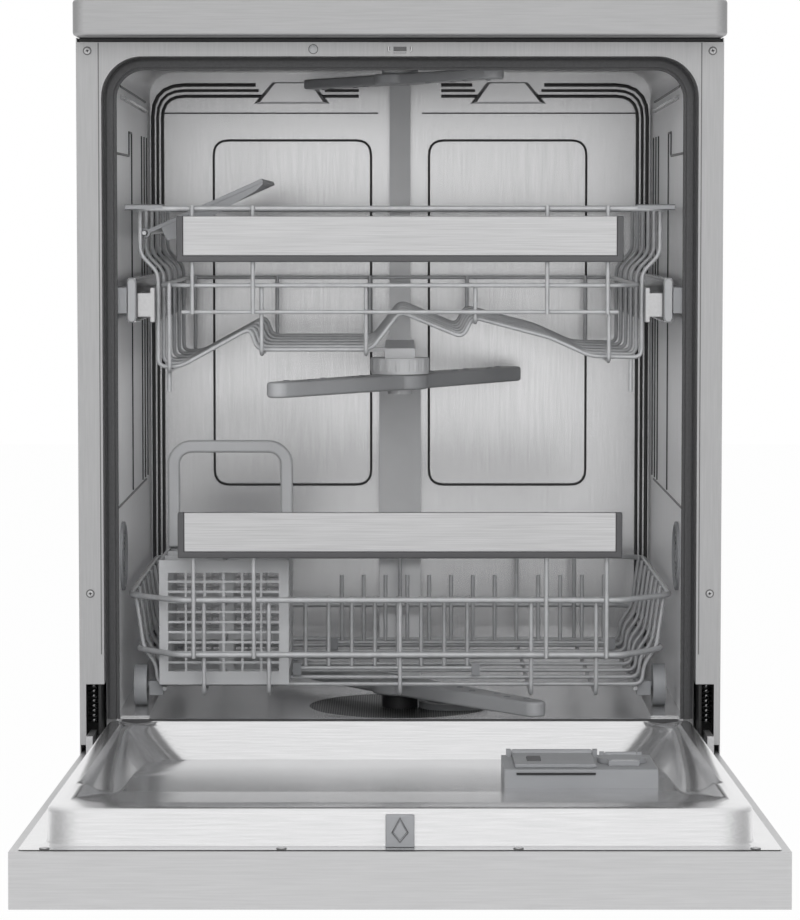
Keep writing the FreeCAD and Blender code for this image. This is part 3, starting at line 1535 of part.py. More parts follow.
def lower_rack():
    """Lower wire rack on its wheels, with the folding tines and the cutlery basket."""
    wire, rim = d.rack_wire, d.rim_wire
    inset = (rim + wire) / 2
    rim_in, mid_in = d.lower_rim_half - inset, d.lower_mid_half - inset
    floor_z = d.lower_floor_height
    flank = [
        (d.lower_floor_half, floor_z),
        (d.lower_floor_half + wire / 2, d.lower_step_height),
        (mid_in, d.lower_mid_height),
        (rim_in, d.lower_rim_height + rim / 2),
    ]
    profile = [(-x, z) for x, z in reversed(flank)] + flank
    rows = between(d.lower_rows_front, d.lower_rows_back, LOWER_ROWS)
    wires = [wire_rod([(x, row, z) for x, z in profile], wire) for row in rows]
    corners = (d.lower_front_half, d.lower_corner_run, d.lower_rear_run)
    wires += ring(d.lower_rim_half, d.lower_rim_height, rim, *corners)
    wires += ring(d.lower_mid_half, d.lower_mid_height, rim, *corners)
    near, far = d.rack_front + rim + wire / 2, d.rack_back - rim - wire / 2
    low, high = floor_z - wire, d.lower_rim_height + rim / 2
    outer_wire = d.lower_floor_half - d.wheel_bore - wire / 2
    places = [share * d.lower_floor_half for share in LOWER_LENGTH_SHARES]
    for x in places:
        wires.append(wire_rod([(x, near, high), (x, near, low), (x, far, low), (x, far, high)], wire))
    for x in (-outer_wire, outer_wire):
        wires.append(wire_rod([(x, rows[0] - wire, low), (x, rows[-1] + wire, low)], wire))
    handle_top = d.lower_handle_bottom + d.handle_strip + d.handle_bar_height
    wires += stays(d.lower_mid_height - rim / 2, handle_top)
    piece("lower_basket", formed("lower_wires", Part.makeCompound(wires)))
    rack_handle("lower", "lower_handle_bottom")

    out = Vector(1, 0, 0)
    brackets = []
    for place, name in ((d.wheel_front, "front"), (d.wheel_back, "rear")):
        wheels = []
        for side in (-1, 1):
            seat = outer_wire + wire / 2
            arm = Part.makeBox(
                d.bracket_outer - seat,
                2 * d.bracket_half,
                d.bracket_below + d.bracket_above,
                Vector(seat, place - d.bracket_half, d.axle_height - d.bracket_below),
            )
            pin_length = d.wheel_outer + d.axle_proud - seat
            axle = Part.makeCylinder(d.axle_radius, pin_length, Vector(seat, place, d.axle_height), out)
            bracket = arm.fuse(axle).removeSplitter()
            at = Vector(d.wheel_inner, place, d.axle_height)
            wheel = Part.makeCylinder(d.wheel_radius, d.wheel_width, at, out)
            wheel = wheel.cut(Part.makeCylinder(d.wheel_bore, d.wheel_width, at, out))
            if side < 0:
                bracket = bracket.mirror(Vector(), out)
                wheel = wheel.mirror(Vector(), out)
            brackets.append(bracket)
            wheels.append(wheel)
        piece(f"lower_wheels_{name}", formed(f"wheel_pair_{name}", Part.makeCompound(wheels)))
    piece("wheel_brackets", formed("wheel_bracket_set", Part.makeCompound(brackets)))

    room = d.lower_floor_half - d.tine_side_gap - d.rear_tines_start
    rear_tines = math.floor(room / d.tine_pitch) + 1
    clips = tine_row("tines_front", d.front_tines_start, FRONT_TINES, rows[1])
    clips += tine_row("tines_rear", d.rear_tines_start, rear_tines, rows[5])
    piece("tine_clips", formed("tine_clip_set", Part.makeCompound(clips)))


def cutlery_basket():
    """Moulded basket with windowed walls and six cells, and the carrying frame clipped on its rear wall."""
    left, right, front, back = d.cutlery_left, d.cutlery_right, d.cutlery_front, d.cutlery_back
    bottom, wall, bar, margin = d.cutlery_bottom, d.cutlery_wall, d.cutlery_bar, d.cutlery_window_margin
    width, depth = d.cutlery_width, d.cutlery_depth
    room = d.mid_arm_bottom - d.lower_floor_height
    top = d.lower_floor_height + CUTLERY_TOP_SHARE * room
    height = top - bottom
    corner = Vector(left + wall, front + wall, bottom + wall)
    inside = Part.makeBox(width - 2 * wall, depth - 2 * wall, height, corner)
    shape = Part.makeBox(width, depth, height, Vector(left, front, bottom)).cut(inside)
    step_z = (height - 2 * margin + bar) / CUTLERY_WINDOW_ROWS
    step_x = (width - 2 * margin + bar) / CUTLERY_COLUMNS
    step_y = (depth - 2 * margin + bar) / CUTLERY_COLUMNS
    tools = []
    for row in range(CUTLERY_WINDOW_ROWS):
        z = bottom + margin + row * step_z
        for column in range(CUTLERY_COLUMNS):
            x = left + margin + column * step_x
            y = front + margin + column * step_y
            tools.append(Part.makeBox(step_x - bar, depth, step_z - bar, Vector(x, front, z)))
            tools.append(Part.makeBox(width, step_y - bar, step_z - bar, Vector(left, y, z)))
    shape = shape.cut(tools)
    cell_x, cell_y = (width - 3 * wall) / 2, (depth - 4 * wall) / 3
    shape = shape.fuse(Part.makeBox(wall, depth, height, Vector(left + wall + cell_x, front, bottom)))
    for row in (1, 2):
        corner = Vector(left, front + row * (cell_y + wall), bottom)
        shape = shape.fuse(Part.makeBox(width, wall, height, corner))
    piece("cutlery_basket", formed("cutlery_body", shape.removeSplitter()))

    rim, thick = d.cutlery_handle_width, d.cutlery_handle_thick
    crown = d.lower_floor_height + CUTLERY_HANDLE_SHARE * room
    half = width / 2
    hole = (back - thick - d.overrun, back + d.overrun)
    frame = arch(half, crown, 2 * rim, top, back - thick, back)
    frame = frame.cut(arch(half - rim, crown - rim, rim, top + rim, *hole))
    frame.translate(Vector((left + right) / 2, 0, 0))
    piece("cutlery_handle", formed("cutlery_frame", frame))


cabinet()
front_frame()
tub()
water_side()
hinges()
door()
dispenser()
upper_rack()
lower_rack()
cutlery_basket()
spray_arm(
    "mid_spray_arm", d.mid_arm_radius, d.mid_arm_width, d.arm_tip_width,
    d.arm_thick, d.mid_arm_bottom, d.mid_arm_angle,
)
spray_arm(
    "lower_spray_arm", d.lower_arm_radius, d.mid_arm_width, d.arm_tip_width,
    d.arm_thick, d.lower_arm_bottom, d.lower_arm_angle,
)
spray_arm(
    "ceiling_spray_arm", d.ceiling_arm_radius, d.ceiling_arm_width, d.arm_tip_width,
    d.ceiling_arm_thick, d.ceiling_arm_bottom, d.ceiling_arm_angle,
)

doc.recompute()
faults = [thing.Name for thing in doc.Objects if {"Invalid", "Error"} & set(thing.State)]
faults += [thing.Label for thing in pieces if thing.Shape.isNull() or not thing.Shape.isValid()]
if faults:
    raise RuntimeError("pieces that did not build: " + ", ".join(faults))
os.makedirs("parts", exist_ok=True)
for thing in pieces:
    thing.Shape.exportStep(f"parts/{thing.Label}.step")
    print(f"{thing.Label}: {len(thing.Shape.Solids)} solid(s), {thing.Shape.Volume:.0f} cubic mm")
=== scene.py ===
"""Looks of the dishwasher: materials, small surface pieces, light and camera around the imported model.

Everything is in metres in the model's own frame: origin on the floor at the front frame, +Y to the back.
"""

import math

import bmesh
import bpy
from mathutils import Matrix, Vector


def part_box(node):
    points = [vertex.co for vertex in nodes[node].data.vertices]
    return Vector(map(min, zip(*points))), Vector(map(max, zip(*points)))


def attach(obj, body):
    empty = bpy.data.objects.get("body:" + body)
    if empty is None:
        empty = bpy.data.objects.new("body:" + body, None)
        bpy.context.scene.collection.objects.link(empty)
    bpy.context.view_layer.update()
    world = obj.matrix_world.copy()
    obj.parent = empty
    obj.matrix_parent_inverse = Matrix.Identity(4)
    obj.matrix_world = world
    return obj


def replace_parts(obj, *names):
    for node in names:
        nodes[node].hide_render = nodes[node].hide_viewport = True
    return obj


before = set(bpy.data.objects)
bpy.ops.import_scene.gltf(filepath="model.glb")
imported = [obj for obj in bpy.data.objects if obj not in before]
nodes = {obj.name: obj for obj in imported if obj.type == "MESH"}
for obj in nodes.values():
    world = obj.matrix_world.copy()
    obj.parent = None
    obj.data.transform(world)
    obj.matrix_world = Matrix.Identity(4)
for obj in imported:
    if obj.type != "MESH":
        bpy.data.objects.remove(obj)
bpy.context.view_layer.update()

# Camera fitted to the photograph: distance in front of the front frame, eye height and focal length in pixels
CAMERA_DISTANCE = 3.35
EYE_HEIGHT = 0.653
FOCAL_PIXELS = 3613.0
HORIZON_ROW = 216.0
IMAGE_HEIGHT = 920
SENSOR = 36.0


# Materials


def links(tree, *pairs):
    """Join output sockets to input sockets."""
    for source, target in pairs:
        tree.links.new(source, target)


def added(tree, kind, values=()):
    """A new shader node with some of its inputs set, as (name, value) pairs."""
    node = tree.nodes.new("ShaderNode" + kind)
    for name, value in values:
        node.inputs[name].default_value = value
    return node


def surface(name, colour, metallic, roughness):
    """A new principled material with its shader and object coordinates at hand."""
    material = bpy.data.materials.new(name)
    material.use_nodes = True
    tree = material.node_tree
    shader = tree.nodes["Principled BSDF"]
    shader.inputs["Base Color"].default_value = (*colour, 1)
    shader.inputs["Metallic"].default_value = metallic
    shader.inputs["Roughness"].default_value = roughness
    return material, tree, shader, added(tree, "TexCoord").outputs["Object"]


def noise(tree, place, scale, stretch=(1, 1, 1), detail=4.0):
    """Fractal noise at a scale per metre, stretched along chosen axes."""
    mapping = added(tree, "Mapping", [("Scale", stretch)])
    texture = added(tree, "TexNoise", [("Scale", scale), ("Detail", detail)])
    links(tree, (place, mapping.inputs["Vector"]), (mapping.outputs["Vector"], texture.inputs["Vector"]))
    return texture.outputs["Fac"]


def ranged(tree, value, low, high, start=0.0, end=1.0):
    """A value between a start and an end spread between two limits."""
    limits = [("From Min", start), ("From Max", end), ("To Min", low), ("To Max", high)]
    spread = added(tree, "MapRange", limits)
    links(tree, (value, spread.inputs["Value"]))
    return spread.outputs["Result"]


def tinted(tree, shader, value, dark, light):
    """Let a noise value move the base colour between two shades."""
    ramp = added(tree, "ValToRGB")
    for element, position, colour in zip(ramp.color_ramp.elements, (0.3, 0.7), (dark, light)):
        element.position = position
        element.color = (*colour, 1)
    links(tree, (value, ramp.inputs["Fac"]), (ramp.outputs["Color"], shader.inputs["Base Color"]))


def bumped(tree, shader, value, strength, depth):
    """Turn a noise value into a fine relief."""
    bump = added(tree, "Bump", [("Strength", strength), ("Distance", depth)])
    links(tree, (value, bump.inputs["Height"]), (bump.outputs["Normal"], shader.inputs["Normal"]))


def scaled(colour, factor):
    """A colour made lighter or darker."""
    return tuple(min(1.0, channel * factor) for channel in colour)


def brushed_steel(name, grey, roughness, grain, metallic=0.9, contrast=0.05):
    """Stainless steel with hair lines along one axis; grain is the stretch of the noise per axis."""
    colour = (grey, grey, grey * 1.01)
    material, tree, shader, place = surface(name, colour, metallic, roughness)
    lines = noise(tree, place, scale=60.0, stretch=grain)
    clouds = noise(tree, place, scale=5.0, detail=2.0)
    tinted(tree, shader, lines, scaled(colour, 1 - contrast), scaled(colour, 1 + contrast))
    links(tree, (ranged(tree, clouds, roughness * 0.85, roughness * 1.2), shader.inputs["Roughness"]))
    bumped(tree, shader, lines, strength=0.08, depth=0.0004)
    return material


def shaded_below(material, share):
    """Painted shade: darken the colour of a steel's faces that look down, so that the tub's ceiling looks
    shaded.
    """
    tree = material.node_tree
    shader = tree.nodes["Principled BSDF"]
    colour = shader.inputs["Base Color"].links[0].from_socket
    facing, dim = added(tree, "SeparateXYZ"), added(tree, "VectorMath")
    dim.operation = "SCALE"
    links(
        tree,
        (added(tree, "NewGeometry").outputs["Normal"], facing.inputs["Vector"]),
        (colour, dim.inputs["Vector"]),
        (ranged(tree, facing.outputs["Z"], share, 1.0, start=-0.9, end=-0.2), dim.inputs["Scale"]),
        (dim.outputs["Vector"], shader.inputs["Base Color"]),
    )


def moulded_plastic(name, colour, roughness=0.45):
    """Moulded plastic with a fine spark-eroded grain."""
    material, tree, shader, place = surface(name, colour, 0.0, roughness)
    grain = noise(tree, place, scale=900.0, detail=3.0)
    clouds = noise(tree, place, scale=14.0, detail=3.0)
    tinted(tree, shader, clouds, scaled(colour, 0.94), scaled(colour, 1.06))
    links(tree, (ranged(tree, grain, roughness * 0.85, roughness * 1.15), shader.inputs["Roughness"]))
    bumped(tree, shader, grain, strength=0.12, depth=0.0003)
    return material


def coated_wire(name, colour):
    """Steel wire dipped in nylon: satin, slightly uneven."""
    material, tree, shader, place = surface(name, colour, 0.25, 0.33)
    drips = noise(tree, place, scale=120.0, detail=2.0)
    tinted(tree, shader, drips, scaled(colour, 0.93), scaled(colour, 1.07))
    bumped(tree, shader, drips, strength=0.10, depth=0.0003)
    shader.inputs["Coat Weight"].default_value = 0.35
    shader.inputs["Coat Roughness"].default_value = 0.2
    return material


def rubber(name, colour):
    """Matt extruded rubber."""
    material, tree, shader, place = surface(name, colour, 0.0, 0.6)
    grain = noise(tree, place, scale=350.0, detail=3.0)
    tinted(tree, shader, grain, scaled(colour, 0.88), scaled(colour, 1.15))
    bumped(tree, shader, grain, strength=0.15, depth=0.0003)
    return material


def perforated_steel(name, grey):
    """Filter sheet: steel with a close pattern of etched holes."""
    material, tree, shader, place = surface(name, (grey, grey, grey), 0.9, 0.4)
    holes = added(tree, "TexVoronoi", [("Scale", 420.0), ("Randomness", 0.0)])
    links(tree, (place, holes.inputs["Vector"]))
    tinted(tree, shader, holes.outputs["Distance"], (0.02, 0.02, 0.02), (grey, grey, grey))
    bumped(tree, shader, holes.outputs["Distance"], strength=0.3, depth=0.0004)
    return material


# Grain of steel as the stretch of its noise per axis: lines across, lines upwards, no lines
ACROSS, UPWARDS, EVEN = (0.4, 12, 12), (12, 12, 0.4), (6, 6, 6)
# Grey, roughness, grain, metallic share, contrast
STEELS = {
    "top_steel": (0.40, 0.42, ACROSS, 0.8),
    "front_steel": (0.55, 0.36, ACROSS, 0.9),
    "frame_steel": (0.42, 0.40, UPWARDS, 0.85),
    "tub_steel": (0.79, 0.24, UPWARDS, 0.82),
    "side_steel": (0.88, 0.36, UPWARDS, 0.3),
    "liner_steel": (0.73, 0.18, ACROSS, 0.9),
    "handle_steel": (0.56, 0.30, (0.3, 30, 30), 0.92, 0.12),
    "bright_steel": (0.68, 0.16, EVEN, 1.0),
    # Near-black steel of the tub's lines: painted shade and painted reflection along its pressings
    "painted_shade_line_steel": (0.055, 0.35, EVEN, 0.6),
    # Near-black steel: the hinge brackets' own colour, and painted shade in the screws' cross recesses
    "black_and_shade_steel": (0.03, 0.4, EVEN, 0.7),
    "shadow_steel": (0.14, 0.45, EVEN, 0.6),
    "zinc": (0.55, 0.36, EVEN),
}
# Colour, roughness
PLASTICS = {
    "grey_plastic": ((0.23, 0.235, 0.245),),
    "duct_plastic": ((0.58, 0.585, 0.595),),
    "arm_plastic": ((0.33, 0.335, 0.345),),
    "light_plastic": ((0.38, 0.385, 0.395),),
    "dark_plastic": ((0.06, 0.06, 0.063),),
    "black_plastic": ((0.012, 0.012, 0.013), 0.5),
    "smoked_plastic": ((0.012, 0.012, 0.014), 0.12),
}
PALETTE = {
    **{name: brushed_steel(name, *look) for name, look in STEELS.items()},
    **{name: moulded_plastic(name, *look) for name, look in PLASTICS.items()},
    "filter_steel": perforated_steel("filter_steel", 0.5),
    "rack_wire": coated_wire("rack_wire", (0.38, 0.385, 0.395)),
    "seal_rubber": rubber("seal_rubber", (0.05, 0.05, 0.052)),
}
# Painted shade: the faces of the side steel that look down, the tub's ceiling, are darkened in colour
shaded_below(PALETTE["side_steel"], 0.4)

FINISHES = {
    "top_steel": ("worktop",),
    "front_steel": ("door_outer_panel",),
    "frame_steel": ("front_frame", "side_panels", "kickplate", "latch_strike"),
    "tub_steel": ("tub_back", "tub_floor"),
    "side_steel": ("tub_wrapper",),
    "bright_steel": ("upper_rails",),
    "filter_steel": ("filter_plate",),
    "liner_steel": ("door_liner",),
    "handle_steel": ("upper_handle_bar", "lower_handle_bar"),
    "zinc": ("rear_panel", "frame_screws", "door_screws", "hinge_arms", "rack_carriers"),
    "black_and_shade_steel": ("hinge_brackets",),
    "grey_plastic": (
        "dispenser_body", "detergent_lid", "rinse_aid_cap", "latch_housing", "wheel_brackets", "tine_clips",
        "lower_wheels_front", "lower_wheels_rear", "filter_cartridge", "rail_guides", "cup_shelf",
    ),
    "duct_plastic": ("feed_duct", "upper_feed_pipe"),
    "arm_plastic": ("mid_spray_arm", "lower_spray_arm", "ceiling_spray_arm"),
    "light_plastic": ("cutlery_basket", "cutlery_handle", "inlet_valve", "frame_plug"),
    "dark_plastic": (
        "upper_handle_frame", "lower_handle_frame", "handle_pocket",
        "button_power", "button_program", "button_start",
    ),
    "black_plastic": (
        "base_tray", "levelling_feet", "sump", "circulation_pump", "drain_pump", "drain_spigot",
        "control_board",
    ),
    "smoked_plastic": ("display_window",),
    "rack_wire": ("upper_basket", "lower_basket", "tines_front", "tines_rear"),
    "seal_rubber": ("door_gasket", "bottom_seal"),
}
FINISH_OF = {name: finish for finish, names in FINISHES.items() for name in names}


def dress_nodes():
    """Give every node of the model its finish."""
    for name, finish in FINISH_OF.items():
        slots = nodes[name].data.materials
        slots.clear()
        slots.append(PALETTE[finish])


# Piece makers


def placed(name, data, body, finish):
    """Link a mesh or curve as a piece that rides on a body and takes a node's finish."""
    data.materials.append(PALETTE[finish])
    piece = bpy.data.objects.new(name, data)
    bpy.context.collection.objects.link(piece)
    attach(piece, body)
    return piece


def meshed(name, work, body, finish, crease=40.0):
    """Finish a working mesh as a piece, smooth except at edges sharper than the crease angle."""
    bmesh.ops.recalc_face_normals(work, faces=work.faces)
    data = bpy.data.meshes.new(name)
    work.to_mesh(data)
    work.free()
    data.polygons.foreach_set("use_smooth", [True] * len(data.polygons))
    data.set_sharp_from_angle(angle=math.radians(crease))
    return placed(name, data, body, finish)


def along_front(u, v, w):
    """Plates that face the front: across, up, depth."""
    return Vector((u, w, v))


def along_top(u, v, w):
    """Plates that lie flat: across, back, height."""
    return Vector((u, v, w))


def along_side(u, v, w):
    """Plates on a side wall: back, up, distance across."""
    return Vector((w, u, v))


def rectangle(start, end, low, high, inset=(0, 0)):
    """Corners of a rectangle, drawn in on all sides by an inset across and up."""
    step = math.copysign(inset[0], end - start)
    start, end, low, high = start + step, end - step, low + inset[1], high - inset[1]
    return [(start, low), (end, low), (end, high), (start, high)]


def skinned(work, one, two):
    """Faces between two rings with as many vertices."""
    for i in range(len(one)):
        j = (i + 1) % len(one)
        work.faces.new((one[i], one[j], two[j], two[i]))


def tapered(work, base, top, low, high, place):
    """A pressed boss: one outline at its foot and another with as many points at its top."""
    rings = [[work.verts.new(place(u, v, w)) for u, v in line] for line, w in ((base, low), (top, high))]
    for ring in rings:
        work.faces.new(ring)
    skinned(work, *rings)


def plate(work, outline, low, high, place):
    """A flat plate from its outline, between two depths."""
    tapered(work, outline, outline, low, high, place)


def boss(work, box, inset, low, high, place):
    """A rectangular boss that is drawn in by an inset at its top."""
    tapered(work, rectangle(*box), rectangle(*box, inset), low, high, place)


def about(outline, centre, across=1.0, up=1.0):
    """An outline drawn round a centre, made smaller across and up."""
    return [(centre[0] + u * across, centre[1] + v * up) for u, v in outline]


def pierced(work, us, vs, low, high, place):
    """A plate on grid lines whose odd cells, both ways, are windows."""
    def solid(i, j):
        return 0 <= i < len(us) - 1 and 0 <= j < len(vs) - 1 and not (i % 2 and j % 2)

    grid = [[[work.verts.new(place(u, v, w)) for v in vs] for u in us] for w in (low, high)]
    for i in range(len(us) - 1):
        for j in range(len(vs) - 1):
            if not solid(i, j):
                continue
            corners = ((i, j), (i + 1, j), (i + 1, j + 1), (i, j + 1))
            for sheet in grid:
                work.faces.new([sheet[a][b] for a, b in corners])
            for k, (di, dj) in enumerate(((0, -1), (1, 0), (0, 1), (-1, 0))):
                if not solid(i + di, j + dj):
                    (a, b), (c, e) = corners[k], corners[(k + 1) % 4]
                    work.faces.new((grid[0][a][b], grid[0][c][e], grid[1][c][e], grid[1][a][b]))
    bmesh.ops.delete(work, geom=[vert for vert in work.verts if not vert.link_faces], context="VERTS")


def bars(start, end, before, after, count, bar):
    """Grid lines of a border, a number of windows with bars between them, and a border."""
    first, last = start + before, end - after
    window = (last - first - (count - 1) * bar) / count
    lines = [start]
    for i in range(count):
        lines += [first + i * (window + bar), first + i * (window + bar) + window]
    return lines + [end]


def across_of(axis):
    """Two directions square to an axis."""
    side = axis.orthogonal().normalized()
    return side, axis.cross(side)


def circle(work, foot, axis, radius, sides):
    """A ring of vertices round an axis."""
    side, other = across_of(axis)
    turns = [math.tau * i / sides for i in range(sides)]
    return [work.verts.new(foot + (side * math.cos(t) + other * math.sin(t)) * radius) for t in turns]


def turned(work, profile, centre, axis, sides=32):
    """A turned solid: (radius, height) pairs from one end of the axis to the other."""
    axis = Vector(axis).normalized()
    rings = []
    for radius, height in profile:
        foot = Vector(centre) + axis * height
        rings.append(circle(work, foot, axis, radius, sides) if radius else [work.verts.new(foot)])
    for one, two in zip(rings, rings[1:]):
        for i in range(sides):
            j = (i + 1) % sides
            corners = [one[i % len(one)], one[j % len(one)], two[j % len(two)], two[i % len(two)]]
            work.faces.new(list(dict.fromkeys(corners)))


def ringed(work, profile, centre, axis, sides=32):
    """A turned ring whose (radius, height) profile closes on itself."""
    axis = Vector(axis).normalized()
    rings = [circle(work, Vector(centre) + axis * height, axis, radius, sides) for radius, height in profile]
    for one, two in zip(rings, rings[1:] + rings[:1]):
        skinned(work, one, two)


# Screw heads: (share of radius, share of height) up the side; cross recess and the painted shade in it; sink
# in metres
SCREW_SIDE = ((1.0, 0.0), (1.0, 0.55), (0.93, 0.85), (0.78, 1.0))
CROSS_ARM, CROSS_HALF, CROSS_TURN = 0.56, 0.16, math.pi / 5
RECESS_LEVEL, RECESS_TAPER = 0.35, 0.7
SHADE_SPREAD, SHADE_RISE, SHADE_SINK = 0.74, 0.3, 0.00002


def cross_screw(work, shade, centre, axis, radius, height):
    """A pan-head screw with a cross recess; the painted shade on the recess floor is a dark piece of its own.
    """
    axis = Vector(axis).normalized()
    side, other = across_of(axis)
    rings = [
        circle(work, Vector(centre) + axis * height * rise, axis, radius * reach, 32)
        for reach, rise in SCREW_SIDE
    ]
    work.faces.new(rings[0])
    for one, two in zip(rings, rings[1:]):
        skinned(work, one, two)
    arm, half = radius * CROSS_ARM, radius * CROSS_HALF
    outline = []
    for i in range(4):
        turn = math.pi / 2 * i + CROSS_TURN
        for u, v in ((half, half), (arm, half), (arm, -half)):
            outline.append((u * math.cos(turn) + v * math.sin(turn), v * math.cos(turn) - u * math.sin(turn)))
    top = Vector(centre) + axis * height
    low = Vector(centre) + axis * height * RECESS_LEVEL
    edge = [work.verts.new(top + side * u + other * v) for u, v in outline]
    floor = [work.verts.new(low + (side * u + other * v) * RECESS_TAPER) for u, v in outline]
    skinned(work, edge, floor)
    work.faces.new(floor)
    sheet = [
        [shade.verts.new(low + axis * rise + (side * u + other * v) * SHADE_SPREAD) for u, v in outline]
        for rise in (-SHADE_SINK, height * SHADE_RISE)
    ]
    for ring in sheet:
        shade.faces.new(ring)
    skinned(shade, *sheet)
    rim = []
    for loop in (rings[-1], edge):
        for one, two in zip(loop, loop[1:] + loop[:1]):
            rim.append(work.edges.get((one, two)) or work.edges.new((one, two)))
    bmesh.ops.triangle_fill(work, edges=rim, use_beauty=True)


def sized(profile, radius):
    """A turned profile from (share of the radius, height) pairs."""
    return [(radius * share, height) for share, height in profile]


# Bends of a path: angle of a corner that counts as straight, longest share of a leg, steps of the curve
STRAIGHT, LEG_SHARE, BEND_STEPS = math.radians(172), 0.45, (0.0, 0.2, 0.4, 0.6, 0.8, 1.0)


def rounded(points, reach, closed=False):
    """A path whose corners are eased by short curves that start at most reach from the corner."""
    count = len(points)
    path = []
    for i, corner in enumerate(points):
        if not closed and i in (0, count - 1):
            path.append(corner)
            continue
        before, after = points[i - 1] - corner, points[(i + 1) % count] - corner
        if before.angle(after, math.pi) > STRAIGHT:
            path.append(corner)
            continue
        start = corner + before.normalized() * min(reach, before.length * LEG_SHARE)
        end = corner + after.normalized() * min(reach, after.length * LEG_SHARE)
        for t in BEND_STEPS:
            path.append(start * (1 - t) ** 2 + corner * 2 * t * (1 - t) + end * t ** 2)
    return path


def tubes(name, lines, body, finish):
    """Round rods in one piece from (points, radius, closed) lines."""
    data = bpy.data.curves.new(name, "CURVE")
    data.dimensions = "3D"
    data.bevel_depth = 0.001
    data.bevel_resolution = 3
    data.use_fill_caps = True
    for points, radius, closed in lines:
        spline = data.splines.new("POLY")
        spline.points.add(len(points) - 1)
        for point, spot in zip(spline.points, points):
            point.co = (*spot, 1)
            point.radius = radius / data.bevel_depth
        spline.use_cyclic_u = closed
        spline.use_smooth = True
    return placed(name, data, body, finish)


def joined(mesh):
    """Vertices of a mesh merged by place, with the pairs that its edges join."""
    keys = [tuple(round(value, 6) for value in vert.co) for vert in mesh.vertices]
    places = {key: Vector(mesh.vertices[i].co) for i, key in enumerate(keys)}
    pairs = {(keys[edge.vertices[0]], keys[edge.vertices[1]]) for edge in mesh.edges}
    return places, [(a, b) for a, b in pairs if a != b]


def groups(places, pairs):
    """Places that pairs join: the leader of each name, and the places of each leader."""
    leader = {name: name for name in places}

    def find(name):
        while leader[name] != name:
            leader[name] = leader[leader[name]]
            name = leader[name]
        return name

    for one, two in pairs:
        leader[find(one)] = find(two)
    leader_of, sets = {name: find(name) for name in places}, {}
    for name, head in leader_of.items():
        sets.setdefault(head, []).append(places[name])
    return leader_of, sets


def islands(node):
    """Lowest and highest corner of each separate solid of a node."""
    corners = []
    for spots in groups(*joined(nodes[node].data))[1].values():
        low = Vector([min(spot[k] for spot in spots) for k in range(3)])
        high = Vector([max(spot[k] for spot in spots) for k in range(3)])
        corners.append((low, high))
    return sorted(corners, key=lambda pair: tuple(pair[0]))


def centre_lines(node, ring_edge=0.0062, sides=8):
    """Centre lines of a node's wires, read from the rings of vertices at their bends."""
    places, pairs = joined(nodes[node].data)
    short = [(a, b) for a, b in pairs if (places[a] - places[b]).length < ring_edge]
    ring_of, rings = groups(places, short)
    middle = {leader: sum(spots, Vector()) / len(spots) for leader, spots in rings.items()}
    next_to = {leader: set() for leader in rings}
    for a, b in pairs:
        if ring_of[a] != ring_of[b]:
            next_to[ring_of[a]].add(ring_of[b])
            next_to[ring_of[b]].add(ring_of[a])
    left = set(rings)
    lines = []
    while left:
        ends = [ring for ring in left if len(next_to[ring]) == 1]
        start = min(ends or left, key=lambda ring: tuple(middle[ring]))
        path = [start]
        left.discard(start)
        while True:
            onward = [ring for ring in next_to[path[-1]] if ring in left]
            if not onward:
                break
            path.append(min(onward, key=lambda ring: tuple(middle[ring])))
            left.discard(path[-1])
        closed = not ends
        reach = min((spot - middle[start]).length for spot in rings[start])
        radius = reach * math.cos(math.pi / sides)
        points = rounded([middle[ring] for ring in path], radius * 4, closed)
        lines.append((points, radius, closed))
    return lines


def softened(node, body, width):
    """A node's own shape with its sharp edges eased by a small radius."""
    work = bmesh.new()
    work.from_mesh(nodes[node].data)
    bmesh.ops.remove_doubles(work, verts=work.verts, dist=1e-6)
    bmesh.ops.dissolve_limit(work, angle_limit=math.radians(1.0), verts=work.verts, edges=work.edges)
    least = math.radians(35)
    sharp = [edge for edge in work.edges if len(edge.link_faces) == 2 and edge.calc_face_angle() > least]
    bmesh.ops.bevel(
        work, geom=sharp, offset=width, offset_type="OFFSET", segments=2, profile=0.5, affect="EDGES",
        clamp_overlap=True,
    )
    piece = meshed(node + "_eased", work, body, FINISH_OF[node])
    weights = piece.modifiers.new("face_weights", "WEIGHTED_NORMAL")
    weights.keep_sharp = True
    weights.weight = 100
    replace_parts(piece, node)


# Details of the dishwasher


def mirrored(points):
    """A line and its copy on the other side of the cabinet."""
    return [points, [Vector((-spot.x, spot.y, spot.z)) for spot in points]]


def sided(outline, sign):
    """An outline on the right (1) or left (-1) side."""
    return [(sign * u, v) for u, v in outline]


def framed(corners, depth, reach, thick):
    """A closed line round a rectangle on an upright wall, with its corners eased."""
    return rounded([Vector((x, depth, z)) for x, z in corners], reach, True), thick, True


def racks():
    """Round wires with bent corners for both racks and the folding tines."""
    for node, body in (
        ("upper_basket", "upper_rack"),
        ("lower_basket", "lower_rack"),
        ("tines_front", "tines_front"),
        ("tines_rear", "tines_rear"),
    ):
        piece = tubes(node + "_round", centre_lines(node), body, "rack_wire")
        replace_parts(piece, node)


